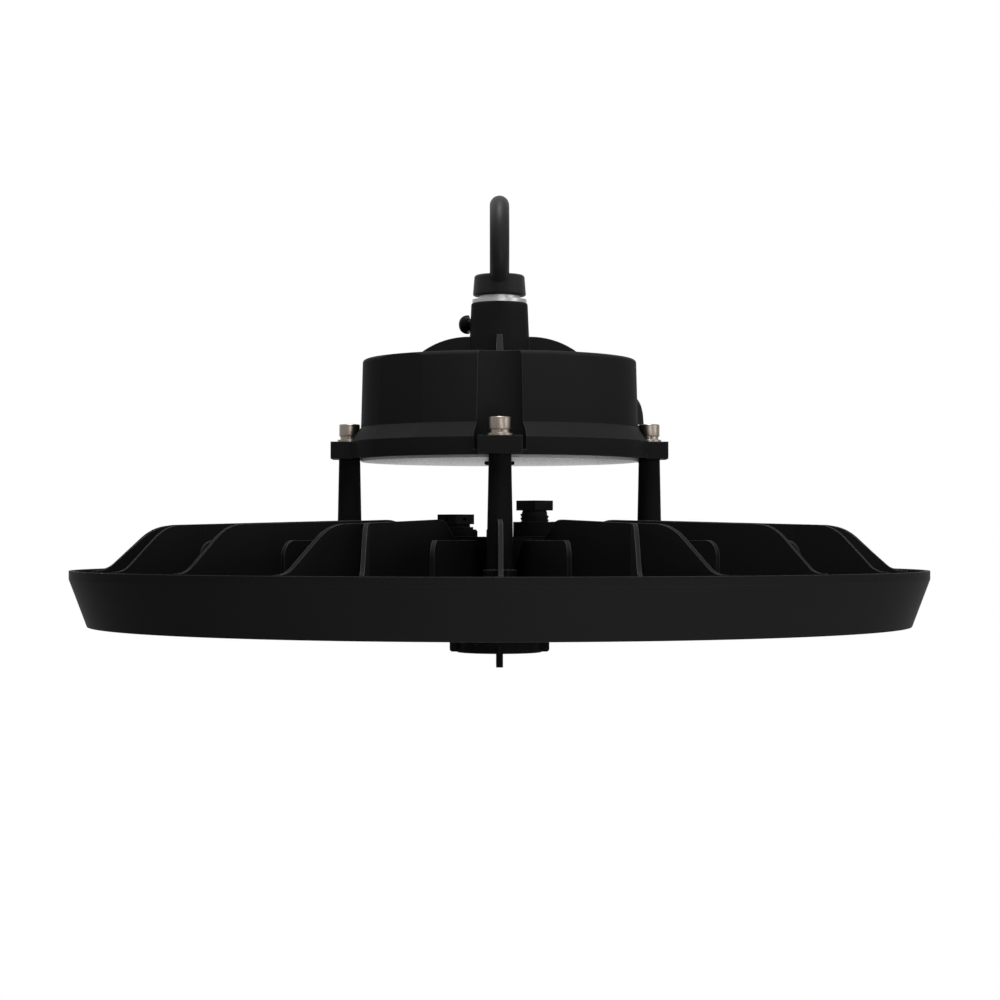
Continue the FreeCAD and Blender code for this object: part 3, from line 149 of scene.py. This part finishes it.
class Finish(Tree):
    """One material: its Principled shader, and the patterns on Object coordinates that feed it."""

    def __init__(self, name, constants):
        self.material = bpy.data.materials.new(name)
        self.material.use_nodes = True
        super().__init__(self.material.node_tree)
        self.tree.nodes.clear()
        self.shader = self.tree.nodes.new("ShaderNodeBsdfPrincipled")
        output = self.tree.nodes.new("ShaderNodeOutputMaterial")
        self.tree.links.new(self.shader.outputs[0], output.inputs["Surface"])
        for socket, constant in constants.items():
            feed(self.tree, self.shader.inputs[socket], constant)
        self.place = self.node("ShaderNodeTexCoord", give="Object")

    def set(self, socket, given):
        feed(self.tree, self.shader.inputs[socket], given)

    def noise(self, size_mm, detail=2.0, roughness=0.5, place=None):
        """A noise of about one spot in each size_mm."""
        return self.node("ShaderNodeTexNoise", None, {
            "Vector": place or self.place, "Scale": 1.0 / (size_mm * MM),
            "Detail": detail, "Roughness": roughness,
        })

    def stretched(self, x, y, z):
        """The place scaled by three factors, for grain that runs one way."""
        return self.node("ShaderNodeMapping", None, {"Vector": self.place, "Scale": (x, y, z)})

    def parts(self):
        """The place as three numbers, in metres."""
        split = self.tree.nodes.new("ShaderNodeSeparateXYZ")
        feed(self.tree, split.inputs[0], self.place)
        return [Value(self.tree, split.outputs[i]) for i in range(3)]

    def spread(self, given, low, high):
        """A value between two limits brought to between 0 and 1."""
        return self.node("ShaderNodeMapRange", None, {"Value": given, "From Min": low, "From Max": high})

    def tint(self, share, first, second):
        """A colour between two, by a share."""
        return self.node("ShaderNodeMix", {"data_type": "RGBA"}, {0: share, 6: first, 7: second}, give=2)

    def rise(self):
        """How far a face looks up, from -1 to 1."""
        normal = self.node("ShaderNodeNewGeometry", give="Normal")
        return self.node("ShaderNodeSeparateXYZ", None, {0: normal}, give=2)

    def edges(self, width_mm):
        """The normal with its edges eased over a width, and how near an edge a point is."""
        eased = self.node("ShaderNodeBevel", {"samples": 4}, {"Radius": width_mm * MM})
        plain = self.node("ShaderNodeNewGeometry", give="Normal")
        product = {"operation": "DOT_PRODUCT"}
        likeness = self.node("ShaderNodeVectorMath", product, {0: eased, 1: plain}, give="Value")
        return eased, self.spread(1.0 - likeness, 0.01, 0.25)

    def relief(self, height, depth_mm, normal=None):
        """A bump of a height map that is depth_mm deep."""
        entries = {"Height": height, "Distance": depth_mm * MM, "Strength": 1.0}
        if normal is not None:
            entries["Normal"] = normal
        return self.node("ShaderNodeBump", None, entries)


def powder_coat(name, colour, edge_wear_and_highlight, roughness, edge_mm):
    """Satin powder coat on a casting: fine orange peel, a little dust on top, and edges painted lighter,
    partly as thin coat and partly as a painted highlight.
    """
    finish = Finish(name, {"Specular IOR Level": 0.003})
    eased, edge = finish.edges(edge_mm)
    peel = finish.noise(1.1, detail=3.0, roughness=0.55)
    cloud = finish.noise(38.0, detail=3.0)
    speck = finish.spread(finish.noise(0.55, detail=1.0), 0.68, 0.78)
    dust = finish.spread(finish.rise(), 0.55, 1.0) * finish.spread(cloud, 0.35, 0.75) * 0.25
    coat = finish.tint(cloud * 0.6, colour, [c * 1.25 for c in colour])
    coat = finish.tint(speck * 0.25, coat, [c * 2.0 for c in colour])
    coat = finish.tint(dust, coat, (0.024, 0.024, 0.024))
    # Edges painted lighter: thinner coat there, and a painted highlight along them.
    finish.set("Base Color", finish.tint(edge * 0.75, coat, edge_wear_and_highlight))
    finish.set("Roughness", (roughness + (peel - 0.5) * 0.16 + dust * 0.5 - edge * 0.1).kept_in())
    finish.set("Normal", finish.relief(peel + speck * 0.6, 0.035, eased))
    return finish.material


def gloss_coat(name, colour, roughness, specular, shine, edge_mm=0.3):
    """Gloss black coat on a forging: long low waves and small pits. shine is the coat's weight."""
    finish = Finish(name, {"Specular IOR Level": specular, "Coat Roughness": 0.42, "Coat IOR": 1.2})
    eased, edge = finish.edges(edge_mm)
    wave = finish.noise(5.0, detail=2.0)
    pit = finish.spread(finish.noise(0.7, detail=1.0), 0.70, 0.80)
    finish.set("Base Color", finish.tint(edge * 0.4 + wave * 0.3, colour, [c * 2.2 for c in colour]))
    finish.set("Roughness", (roughness + wave * 0.12 + pit * 0.2).kept_in())
    finish.set("Coat Weight", shine - pit * shine)
    finish.set("Normal", finish.relief(wave - pit * 0.3, 0.004, eased))
    return finish.material


def turned_metal(name, colour, shade, roughness, axes_reach, depth_mm, step_mm=0.12, edge_mm=0.15):
    """Metal turned about upright axes: fine rings, faint stains and softened edges. The rings follow
    the nearest of four axes, which stand axes_reach from the middle."""
    finish = Finish(name, {"Metallic": 1.0})
    eased, edge = finish.edges(edge_mm)
    x, y, z = finish.parts()
    reach = axes_reach * MM
    along, across = x.size(), y.size()
    first = (along - reach) ** 2.0 + across * across
    second = (across - reach) ** 2.0 + along * along
    radius = (first.least(second)) ** 0.5
    rings = ((radius + z) * (2 * math.pi / (step_mm * MM))).sine() * 0.5 + 0.5
    stain = finish.noise(2.6, detail=3.0)
    scratch = finish.noise(0.5, detail=2.0, place=finish.stretched(1.0, 1.0, 6.0))
    finish.set("Base Color", finish.tint((stain * 0.8 + scratch * 0.3).kept_in(), colour, shade))
    finish.set("Roughness", (roughness + (stain - 0.5) * 0.2 + rings * 0.06 - edge * 0.05).kept_in())
    finish.set("Normal", finish.relief(rings * 0.5 + scratch, depth_mm, eased))
    return finish.material


def speckled_sheet(name, light, dark, cut_edge_and_dark_reflection, roughness):
    """Galvanised sheet with a dense fine speckle, and its upright faces painted darker: a duller sheared
    edge, and a painted dark reflection.
    """
    finish = Finish(name, {"Metallic": 1.0})
    eased, edge = finish.edges(0.25)
    speckle = finish.noise(1.3, detail=1.0, roughness=0.5)
    patch = finish.noise(9.0, detail=2.0)
    grain = (finish.spread(speckle, 0.42, 0.58) * 0.85 + patch * 0.2).kept_in()
    upright = 1.0 - finish.spread(finish.rise().size(), 0.3, 0.8)
    # Upright faces are painted darker, as a duller sheared edge and as a painted dark reflection.
    finish.set("Base Color", finish.tint(upright, finish.tint(grain, dark, light), cut_edge_and_dark_reflection))
    finish.set("Roughness", (roughness + speckle * 0.2 + upright * 0.3 - edge * 0.1).kept_in())
    finish.set("Normal", finish.relief(speckle, 0.003, eased))
    return finish.material


def moulded(name, colour, pale, roughness, edge_mm=0.2, specular=0.35):
    """Moulded plastic or rubber: spark-eroded grain, slow tone changes, scuffed edges."""
    finish = Finish(name, {"Specular IOR Level": specular})
    eased, edge = finish.edges(edge_mm)
    grain = finish.noise(0.45, detail=2.0, roughness=0.6)
    slow = finish.noise(12.0, detail=2.0)
    finish.set("Base Color", finish.tint((slow * 0.5 + edge * 0.5 + grain * 0.15).kept_in(), colour, pale))
    finish.set("Roughness", (roughness + (grain - 0.5) * 0.2 + (slow - 0.5) * 0.1).kept_in())
    finish.set("Normal", finish.relief(grain, 0.012, eased))
    return finish.material


def brushed_can(name, colour, shade, roughness):
    """Drawn aluminium, brushed along its length."""
    finish = Finish(name, {"Metallic": 1.0})
    eased, edge = finish.edges(0.5)
    lines = finish.noise(0.5, detail=3.0, place=finish.stretched(0.15, 1.0, 1.0))
    stain = finish.noise(14.0, detail=2.0)
    finish.set("Base Color", finish.tint((stain * 0.6 + lines * 0.3).kept_in(), colour, shade))
    finish.set("Roughness", (roughness + lines * 0.15 - edge * 0.1).kept_in())
    finish.set("Normal", finish.relief(lines, 0.01, eased))
    return finish.material


def lamp_board(name, mask, copper):
    """White solder mask over ring-shaped tracks that join the chips."""
    finish = Finish(name, {"Specular IOR Level": 0.4})
    x, y, _ = finish.parts()
    radius = (x * x + y * y) ** 0.5 / MM
    inner, middle, outer = [(radius - ring).size() for ring, _ in RINGS]
    track = 1.0 - finish.spread(inner.least(middle).least(outer), 3.0, 3.3)
    weave = finish.noise(0.6, detail=2.0)
    finish.set("Base Color", finish.tint((track * 0.10 + weave * 0.05).kept_in(), mask, copper))
    finish.set("Roughness", (0.38 + weave * 0.12).kept_in())
    finish.set("Normal", finish.relief(track + weave * 0.1, 0.03))
    return finish.material


def phosphor(name, bright, deep):
    """Yellow phosphor in silicone, grainy, with slow random changes of tone."""
    finish = Finish(name, {"Specular IOR Level": 0.5})
    grain = finish.noise(0.25, detail=2.0)
    slow = finish.noise(1.6, detail=1.0)
    finish.set("Base Color", finish.tint((grain * 0.5 + slow * 0.4).kept_in(), bright, deep))
    finish.set("Roughness", (0.22 + grain * 0.15).kept_in())
    finish.set("Normal", finish.relief(grain, 0.008))
    return finish.material


def clear_plastic(name, tone, haze):
    """Clear moulded polycarbonate: faint flow ripple and the slight haze of a moulded face."""
    finish = Finish(name, {"Transmission Weight": 1.0, "IOR": 1.585, "Specular IOR Level": 0.5})
    ripple = finish.noise(16.0, detail=1.0)
    haze_spots = finish.noise(2.2, detail=2.0)
    finish.set("Base Color", finish.tint(ripple * 0.6, tone, haze))
    finish.set("Roughness", (0.02 + haze_spots * 0.05).kept_in())
    finish.set("Normal", finish.relief(ripple, 0.03))
    return finish.material


BLACK = (0.0125, 0.0125, 0.0127)
# Edge colour of the coats: wear, and a painted highlight.
EDGE_WEAR_AND_HIGHLIGHT = (0.100, 0.100, 0.101)
FINISHES = {
    "hanging_eye": gloss_coat("eye_coat", (0.0108, 0.0108, 0.0110), 0.42, 0.06, 0.04),
    "driver_housing": powder_coat("housing_coat", BLACK, EDGE_WEAR_AND_HIGHLIGHT, 0.42, 0.45),
    # The heat sink's coat is painted darker than the housing's, a painted shade among its fins, and its
    # edge colour is lighter still, a painted highlight.
    "heat_sink": powder_coat("heat_sink_coat", (0.0098, 0.0098, 0.0100), (0.12, 0.12, 0.121), 0.44, 0.35),
    "eye_lock_screw": gloss_coat("black_oxide", (0.0018, 0.0018, 0.0018), 0.3, 0.02, 0.06, 0.2),
    "zinc": turned_metal("zinc_plate", (0.34, 0.34, 0.34), (0.22, 0.22, 0.22), 0.34, 0.0, 0.004),
    "stainless": turned_metal(
        "stainless_screw", (0.195, 0.168, 0.142), (0.170, 0.147, 0.124), 0.32, POST_REACH, 0.001,
    ),
    "lens_screw_steel": turned_metal(
        "lens_screw_steel", (0.60, 0.59, 0.57), (0.44, 0.43, 0.41), 0.3, 0.0, 0.006,
    ),
    "sheet": speckled_sheet(
        "galvanised_plate", (0.98, 0.98, 0.97), (0.28, 0.28, 0.28), (0.26, 0.26, 0.26), 0.22,
    ),
    "silicone": moulded("grey_silicone", (0.42, 0.42, 0.41), (0.60, 0.60, 0.59), 0.6, specular=0.25),
    "rubber": moulded("black_rubber", (0.008, 0.008, 0.008), (0.018, 0.018, 0.018), 0.72, specular=0.02),
    "plastic": moulded(
        "black_plastic", (0.0150, 0.0150, 0.0151), (0.023, 0.023, 0.023), 0.42, specular=0.008,
    ),
    # The cap is the black plastic painted much darker, a painted shade for its place under the rim.
    "cap": moulded("cap_plastic", (0.0030, 0.0030, 0.0031), (0.006, 0.006, 0.006), 0.45, specular=0.008),
    "can": brushed_can("driver_can", (0.75, 0.75, 0.76), (0.5, 0.5, 0.51), 0.34),
    "terminal": moulded("terminal_plastic", (0.74, 0.73, 0.68), (0.86, 0.85, 0.80), 0.42),
    "board": lamp_board("board_mask", (0.84, 0.84, 0.82), (0.55, 0.42, 0.22)),
    "phosphor": phosphor("chip_phosphor", (0.86, 0.68, 0.12), (0.78, 0.52, 0.06)),
    "package": moulded("chip_package", (0.78, 0.78, 0.75), (0.88, 0.88, 0.86), 0.4, edge_mm=0.1),
    "lens": clear_plastic("lens_plastic", (0.97, 0.98, 0.985), (0.90, 0.93, 0.94)),
}

CARRIED = {
    "hanging_eye": "hanging_eye", "eye_spring_washer": "zinc", "eye_flat_washer": "zinc",
    "eye_lock_screw": "eye_lock_screw", "driver_housing": "driver_housing",
    "housing_base_plate": "sheet", "housing_gasket": "silicone", "plate_screws": "lens_screw_steel",
    "lead_grommet": "rubber", "led_driver": "can", "driver_screws": "lens_screw_steel",
    "terminal_block": "terminal", "post_screws": "stainless", "post_spring_washers": "stainless",
    "post_flat_washers": "stainless", "gland_washer": "rubber", "gland_body": "plastic",
    "gland_nut": "plastic", "gland_seal": "rubber", "heat_sink": "heat_sink",
    "blanking_plug": "plastic", "breather_seal": "rubber", "breather_plug": "plastic",
    "lead_inlet_seal": "rubber", "led_board": "board", "led_chips": "package",
    "lens_plate": "lens", "lens_seal": "silicone", "lens_screws": "lens_screw_steel",
    "sensor_socket": "plastic", "socket_seal": "rubber", "socket_nut": "plastic",
    "socket_cap": "cap",
}
for node, finish_name in CARRIED.items():
    slots = NODES[node].data.materials
    slots.clear()
    slots.append(FINISHES[finish_name])


# Turned pieces: outlines in millimetres, (radius, level) or (radius, level, round, form).
def eased_outline(corners):
    """An outline with its rounded corners turned to short runs of points."""
    points = []
    count = len(corners)
    for index, corner in enumerate(corners):
        radius, level, round_mm, form = (*corner, *(0.0, "round")[len(corner) - 2:])
        here = Vector((radius, level))
        if not round_mm:
            points.append((radius, level, form))
            continue
        before = (Vector(corners[index - 1][:2]) - here).normalized()
        after = (Vector(corners[(index + 1) % count][:2]) - here).normalized()
        half = before.angle(after) / 2
        reach = round_mm / math.tan(half)
        middle = here + (before + after).normalized() * (round_mm / math.sin(half))
        first, last = here + before * reach - middle, here + after * reach - middle
        steps = 4
        for step in range(steps + 1):
            spoke = first.lerp(last, step / steps).normalized() * round_mm
            points.append((middle.x + spoke.x, middle.y + spoke.y, form))
    return points


def rim_at(radius, form, angle):
    """The reach of a ring at an angle: round, or a hexagon or square whose half width is the radius."""
    if form == "round":
        return radius
    step = {"hex": math.pi / 3, "square": math.pi / 2}[form]
    return radius / math.cos((angle + step / 2) % step - step / 2)


def turned_piece(name, corners, steps=72):
    """A closed mesh turned about the vertical, from an outline that starts and ends on the axis."""
    points = eased_outline(corners)
    mesh = bmesh.new()
    rings = []
    for radius, level, form in points:
        if radius < 1e-6:
            rings.append([mesh.verts.new((0, 0, level * MM))])
            continue
        ring = []
        for step in range(steps):
            angle = 2 * math.pi * step / steps
            reach = rim_at(radius, form, angle) * MM
            ring.append(mesh.verts.new((reach * math.cos(angle), reach * math.sin(angle), level * MM)))
        rings.append(ring)
    for low, high in zip(rings, rings[1:]):
        for step in range(steps):
            onward = (step + 1) % steps
            if len(low) == 1:
                mesh.faces.new((low[0], high[onward], high[step]))
            elif len(high) == 1:
                mesh.faces.new((low[step], low[onward], high[0]))
            else:
                mesh.faces.new((low[step], low[onward], high[onward], high[step]))
    bmesh.ops.recalc_face_normals(mesh, faces=mesh.faces)
    data = bpy.data.meshes.new(name)
    mesh.to_mesh(data)
    mesh.free()
    return finished(name, data)


def smoothed(data):
    """Make a mesh smooth apart from its sharp edges."""
    data.polygons.foreach_set("use_smooth", [True] * len(data.polygons))
    data.set_sharp_from_angle(angle=math.radians(32))


def finished(name, data):
    """An object for a mesh, made smooth."""
    smoothed(data)
    piece = bpy.data.objects.new(name, data)
    bpy.context.scene.collection.objects.link(piece)
    return piece


def new_group(name, inputs):
    """A geometry tree with a geometry input, named number inputs and a material input."""
    group = bpy.data.node_groups.new(name, "GeometryNodeTree")
    group.interface.new_socket("Geometry", in_out="INPUT", socket_type="NodeSocketGeometry")
    for label, kind in inputs:
        group.interface.new_socket(label, in_out="INPUT", socket_type=kind)
    group.interface.new_socket("Finish", in_out="INPUT", socket_type="NodeSocketMaterial")
    group.interface.new_socket("Geometry", in_out="OUTPUT", socket_type="NodeSocketGeometry")
    tree = Tree(group)
    entry = group.nodes.new("NodeGroupInput")
    given = {socket.name: Value(group, socket) for socket in entry.outputs if socket.name}
    return tree, given


def close_group(tree, given, geometry):
    """End a geometry tree in real faces of one material."""
    real = tree.node("GeometryNodeRealizeInstances", None, {"Geometry": geometry})
    painted = tree.node("GeometryNodeSetMaterial", None, {"Geometry": real, "Material": given["Finish"]})
    output = tree.tree.nodes.new("NodeGroupOutput")
    tree.tree.links.new(painted.socket, output.inputs[0])
    return tree.tree


def round_set_tree():
    """Copies of a piece set round a circle, each turned to face outwards."""
    number, whole = "NodeSocketFloat", "NodeSocketInt"
    tree, given = new_group(
        "set_round", [("Count", whole), ("Reach", number), ("Level", number), ("Start", number)],
    )
    ring = {"Vertices": given["Count"], "Radius": given["Reach"]}
    circle = tree.node("GeometryNodeMeshCircle", None, ring)
    turn = tree.node("ShaderNodeCombineXYZ", None, {"Z": given["Start"]})
    lift = tree.node("ShaderNodeCombineXYZ", None, {"Z": given["Level"]})
    placed = tree.node(
        "GeometryNodeTransform", None, {"Geometry": circle, "Translation": lift, "Rotation": turn},
    )
    index = tree.node("GeometryNodeInputIndex")
    angle = index / given["Count"] * (2 * math.pi) + given["Start"]
    facing = tree.node("ShaderNodeCombineXYZ", None, {"Z": angle})
    copies = tree.node(
        "GeometryNodeInstanceOnPoints", None,
        {"Points": placed, "Instance": given["Geometry"], "Rotation": facing},
    )
    return close_group(tree, given, copies)


def thread_tree():
    """A screw thread: a ridge swept along a helix round the piece that carries it."""
    number = "NodeSocketFloat"
    tree, given = new_group("thread", [
        ("Reach", number), ("Pitch", number), ("Length", number), ("Depth", number), ("Level", number),
    ])
    helix = tree.node("GeometryNodeCurveSpiral", None, {
        "Resolution": 48, "Rotations": given["Length"] / given["Pitch"],
        "Start Radius": given["Reach"], "End Radius": given["Reach"], "Height": given["Length"],
    })
    diamond = {"Resolution": 4, "Radius": given["Depth"]}
    section = tree.node("GeometryNodeCurvePrimitiveCircle", None, diamond)
    ridge = tree.node(
        "GeometryNodeCurveToMesh", None, {"Curve": helix, "Profile Curve": section, "Fill Caps": True},
    )
    lift = tree.node("ShaderNodeCombineXYZ", None, {"Z": given["Level"]})
    raised = tree.node("GeometryNodeTransform", None, {"Geometry": ridge, "Translation": lift})
    both = tree.tree.nodes.new("GeometryNodeJoinGeometry")
    tree.tree.links.new(raised.socket, both.inputs[0])
    tree.tree.links.new(given["Geometry"].socket, both.inputs[0])
    return close_group(tree, given, Value(tree.tree, both.outputs[0]))


def grown(piece, group, finish, shift=(0, 0, 0), **sizes):
    """Run a geometry tree on a piece and keep the result as its plain mesh."""
    modifier = piece.modifiers.new("grow", "NODES")
    modifier.node_group = group
    wanted = {**sizes, "Finish": finish}
    for item in group.interface.items_tree:
        if item.in_out == "INPUT" and item.name in wanted:
            modifier[item.identifier] = wanted[item.name]
    evaluated = piece.evaluated_get(bpy.context.evaluated_depsgraph_get())
    made = bpy.data.meshes.new_from_object(evaluated)
    piece.modifiers.clear()
    piece.data = made
    for corner in made.vertices:
        corner.co += Vector(shift) * MM
    smoothed(made)
    return piece


def stands_for(piece, slot, *nodes):
    """Hide the model's nodes behind a piece that rides where they do."""
    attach(piece, "root")
    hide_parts(*nodes)


SET_ROUND = round_set_tree()
THREAD = thread_tree()

# Socket screws over the posts: smooth heads with a rounded rim and a hexagon socket.
post_screws = turned_piece("post_socket_screws", [
    (0, -18), (2.1, -18), (2.5, -17.5), (2.5, 0), (4.15, 0, 0.1), (POST_HEAD_R, 0.25),
    (POST_HEAD_R, POST_HEAD_HEIGHT, 0.45), (2.7, POST_HEAD_HEIGHT, 0.1), (2.0, 4.75, 0, "hex"),
    (2.0, 2.5, 0, "hex"), (0, 2.1),
])
grown(
    post_screws, SET_ROUND, FINISHES["stainless"],
    Count=4, Reach=POST_REACH * MM, Level=POST_HEAD_SEAT * MM, Start=0.0,
)
stands_for(post_screws, "stainless", "post_screws")

# Screws round the lens: low domed heads with a hexagon socket.
lens_screws = turned_piece("lens_button_screws", [
    (0, 8.6), (1.7, 8.6), (2.0, 8.3), (2.0, 0), (3.6, 0, 0.15), (3.8, -0.5), (3.35, -1.85, 1.2),
    (1.9, -LENS_HEAD_HEIGHT, 0.5), (1.15, -LENS_HEAD_HEIGHT, 0.05), (1.0, -2.45, 0, "hex"),
    (1.0, -1.3, 0, "hex"), (0, -1.1),
], steps=48)
grown(
    lens_screws, SET_ROUND, FINISHES["lens_screw_steel"],
    Count=12, Reach=LENS_SCREW_REACH * MM, Level=LENS_BASE * MM, Start=math.radians(15),
)
stands_for(lens_screws, "stainless", "lens_screws")

# Blanking plug: a hexagon head with chamfered corners over a helical thread.
plug = turned_piece("threaded_plug", [
    (0, -9.0), (4.9, -9.0, 0.3), (5.25, -8.4), (5.25, 3.9), (5.0, 4.2), (5.0, 4.75),
    (7.45, 4.75, 0, "hex"), (7.5, 4.85, 0, "hex"), (7.5, 8.65, 0, "hex"), (7.4, PLUG_HEAD_TOP, 0, "hex"),
    (0, PLUG_HEAD_TOP),
])
grown(
    plug, THREAD, FINISHES["plastic"], shift=(PLUG_X, 0, PLUG_SEAT),
    Reach=5.2 * MM, Pitch=1.5 * MM, Length=11.4 * MM, Depth=0.8 * MM, Level=-8.4 * MM,
)
stands_for(plug, "black_plastic", "blanking_plug")


# Light-emitting chips: a white package with sloped sides, a cup and a bead of phosphor.
def chip_package(name):
    """One package, face down, its wall leaning in towards the face."""
    return turned_piece(name, [
        (0, 0), (1.75, 0, 0, "square"), (1.75, -0.15, 0, "square"), (1.62, -0.7, 0, "square"),
        (1.3, -0.7, 0.02), (1.2, -0.52), (0, -0.52),
    ], steps=16)


def joined_as(name, parts):
    """Several pieces' meshes as one piece."""
    mesh = bmesh.new()
    for part in parts:
        mesh.from_mesh(part.data)
    data = bpy.data.meshes.new(name)
    mesh.to_mesh(data)
    mesh.free()
    data.materials.append(parts[0].data.materials[0])
    for part in parts:
        bpy.data.objects.remove(part)
    return finished(name, data)


packages, beads = [], []
for reach, count in RINGS:
    package = chip_package("package")
    spread = {"Count": count, "Reach": reach * MM, "Level": BOARD_FACE * MM, "Start": 0.0}
    packages.append(grown(package, SET_ROUND, FINISHES["package"], **spread))
    bead = turned_piece("bead", [(0, -0.5), (1.18, -0.5), (1.1, -0.56), (0.6, -0.66), (0, -0.68)], steps=16)
    beads.append(grown(bead, SET_ROUND, FINISHES["phosphor"], **spread))
chips = joined_as("chip_packages", packages)
stands_for(chips, "board_white", "led_chips")
phosphor_beads = joined_as("phosphor_beads", beads)
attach(phosphor_beads, "root")


# Studio: a pale floor well below the hanging light, soft lamps, and a white surround.
def studio_floor():
    """A pale floor that keeps the shadow under the light and runs out to white."""
    size, depth = 6.0, -1.15
    mesh = bmesh.new()
    bmesh.ops.create_grid(mesh, x_segments=1, y_segments=1, size=size)
    data = bpy.data.meshes.new("floor")
    mesh.to_mesh(data)
    mesh.free()
    for corner in data.vertices:
        corner.co.z = depth
    floor = bpy.data.objects.new("floor", data)
    bpy.context.scene.collection.objects.link(floor)
    finish = Finish("floor_paper", {"Specular IOR Level": 0.1, "Roughness": 0.9})
    x, y, _ = finish.parts()
    fibre = finish.noise(4.0, detail=2.0)
    finish.set("Base Color", finish.tint(fibre * 0.3, (0.82, 0.82, 0.82), (0.78, 0.78, 0.78)))
    radius = (x * x + y * y) ** 0.5
    seen = background_ray(finish) * (finish.spread(radius, 0.30, 1.1) * 0.6 + 0.4)
    white = finish.node("ShaderNodeEmission", None, {"Color": (1.0, 1.0, 1.0), "Strength": 1.0})
    both = finish.node("ShaderNodeMixShader", None, {0: seen, 2: white})
    mixer = both.socket.node
    finish.tree.links.new(finish.shader.outputs[0], mixer.inputs[1])
    finish.tree.links.new(both.socket, finish.tree.nodes["Material Output"].inputs["Surface"])
    data.materials.append(finish.material)


def background_ray(tree):
    """1 for what the camera, a reflection or a clear piece sees."""
    path = tree.tree.nodes.new("ShaderNodeLightPath")
    kinds = ("Camera", "Glossy", "Transmission")
    camera, glossy, clear = [Value(tree.tree, path.outputs[f"Is {kind} Ray"]) for kind in kinds]
    return camera.most(glossy).most(clear)


def studio_world():
    """A white surround that lights the object more softly than it shows."""
    world = bpy.data.worlds.new("studio")
    world.use_nodes = True
    bpy.context.scene.world = world
    world.node_tree.nodes.clear()
    tree = Tree(world.node_tree)
    dim = tree.node("ShaderNodeBackground", None, {"Color": (1.0, 1.0, 1.0), "Strength": 0.08})
    white = tree.node("ShaderNodeBackground", None, {"Color": (1.0, 1.0, 1.0), "Strength": 1.0})
    both = tree.node("ShaderNodeMixShader", None, {0: background_ray(tree), 1: dim, 2: white})
    output = world.node_tree.nodes.new("ShaderNodeOutputWorld")
    world.node_tree.links.new(both.socket, output.inputs["Surface"])


def soft_lamp(name, spot, aim, size, power):
    """A square soft lamp at a spot, turned to an aim, that the camera doesn't see."""
    lamp = bpy.data.lights.new(name, "AREA")
    lamp.size = size
    lamp.energy = power
    holder = bpy.data.objects.new(name, lamp)
    holder.location = spot
    holder.rotation_euler = (Vector(aim) - Vector(spot)).to_track_quat("-Z", "Y").to_euler()
    holder.visible_camera = False
    bpy.context.scene.collection.objects.link(holder)


def photo_camera():
    """The camera of the photograph: level, and turned a touch to the left round the axis."""
    distance, height, turn = 0.9485, -0.1211, math.radians(-0.19)
    camera = bpy.data.cameras.new("camera")
    camera.sensor_width = 36.0
    camera.lens = 82.63
    camera.shift_x = 0.00055
    camera.shift_y = 0.0375
    camera.clip_start = 0.01
    camera.clip_end = 50.0
    holder = bpy.data.objects.new("camera", camera)
    holder.location = (distance * math.sin(turn), -distance * math.cos(turn), height)
    holder.rotation_euler = (math.radians(90), 0.0, turn)
    bpy.context.scene.collection.objects.link(holder)
    bpy.context.scene.camera = holder


studio_floor()
studio_world()
MIDDLE = (0.0, 0.0, -0.09)
LAMPS = (  # each aimed at the middle of the light: its spot, its size in metres and its watts
    ("front", (0.3, -1.4, -0.05), 0.7, 4.4),
    ("right", (1.4, -0.6, 0.0), 0.8, 6.0),
    ("low", (0.4, -0.85, -0.6), 0.4, 5.0),
    ("top", (0.0, -0.1, 1.3), 0.6, 24.0),
    ("over", (0.0, -0.35, 1.2), 0.5, 15.0),
    ("back", (-1.1, 0.5, 1.0), 0.9, 5.0),
)
for name, spot, size, power in LAMPS:
    soft_lamp(name, spot, MIDDLE, size, power)
photo_camera()
bpy.context.scene.view_settings.view_transform = "Standard"
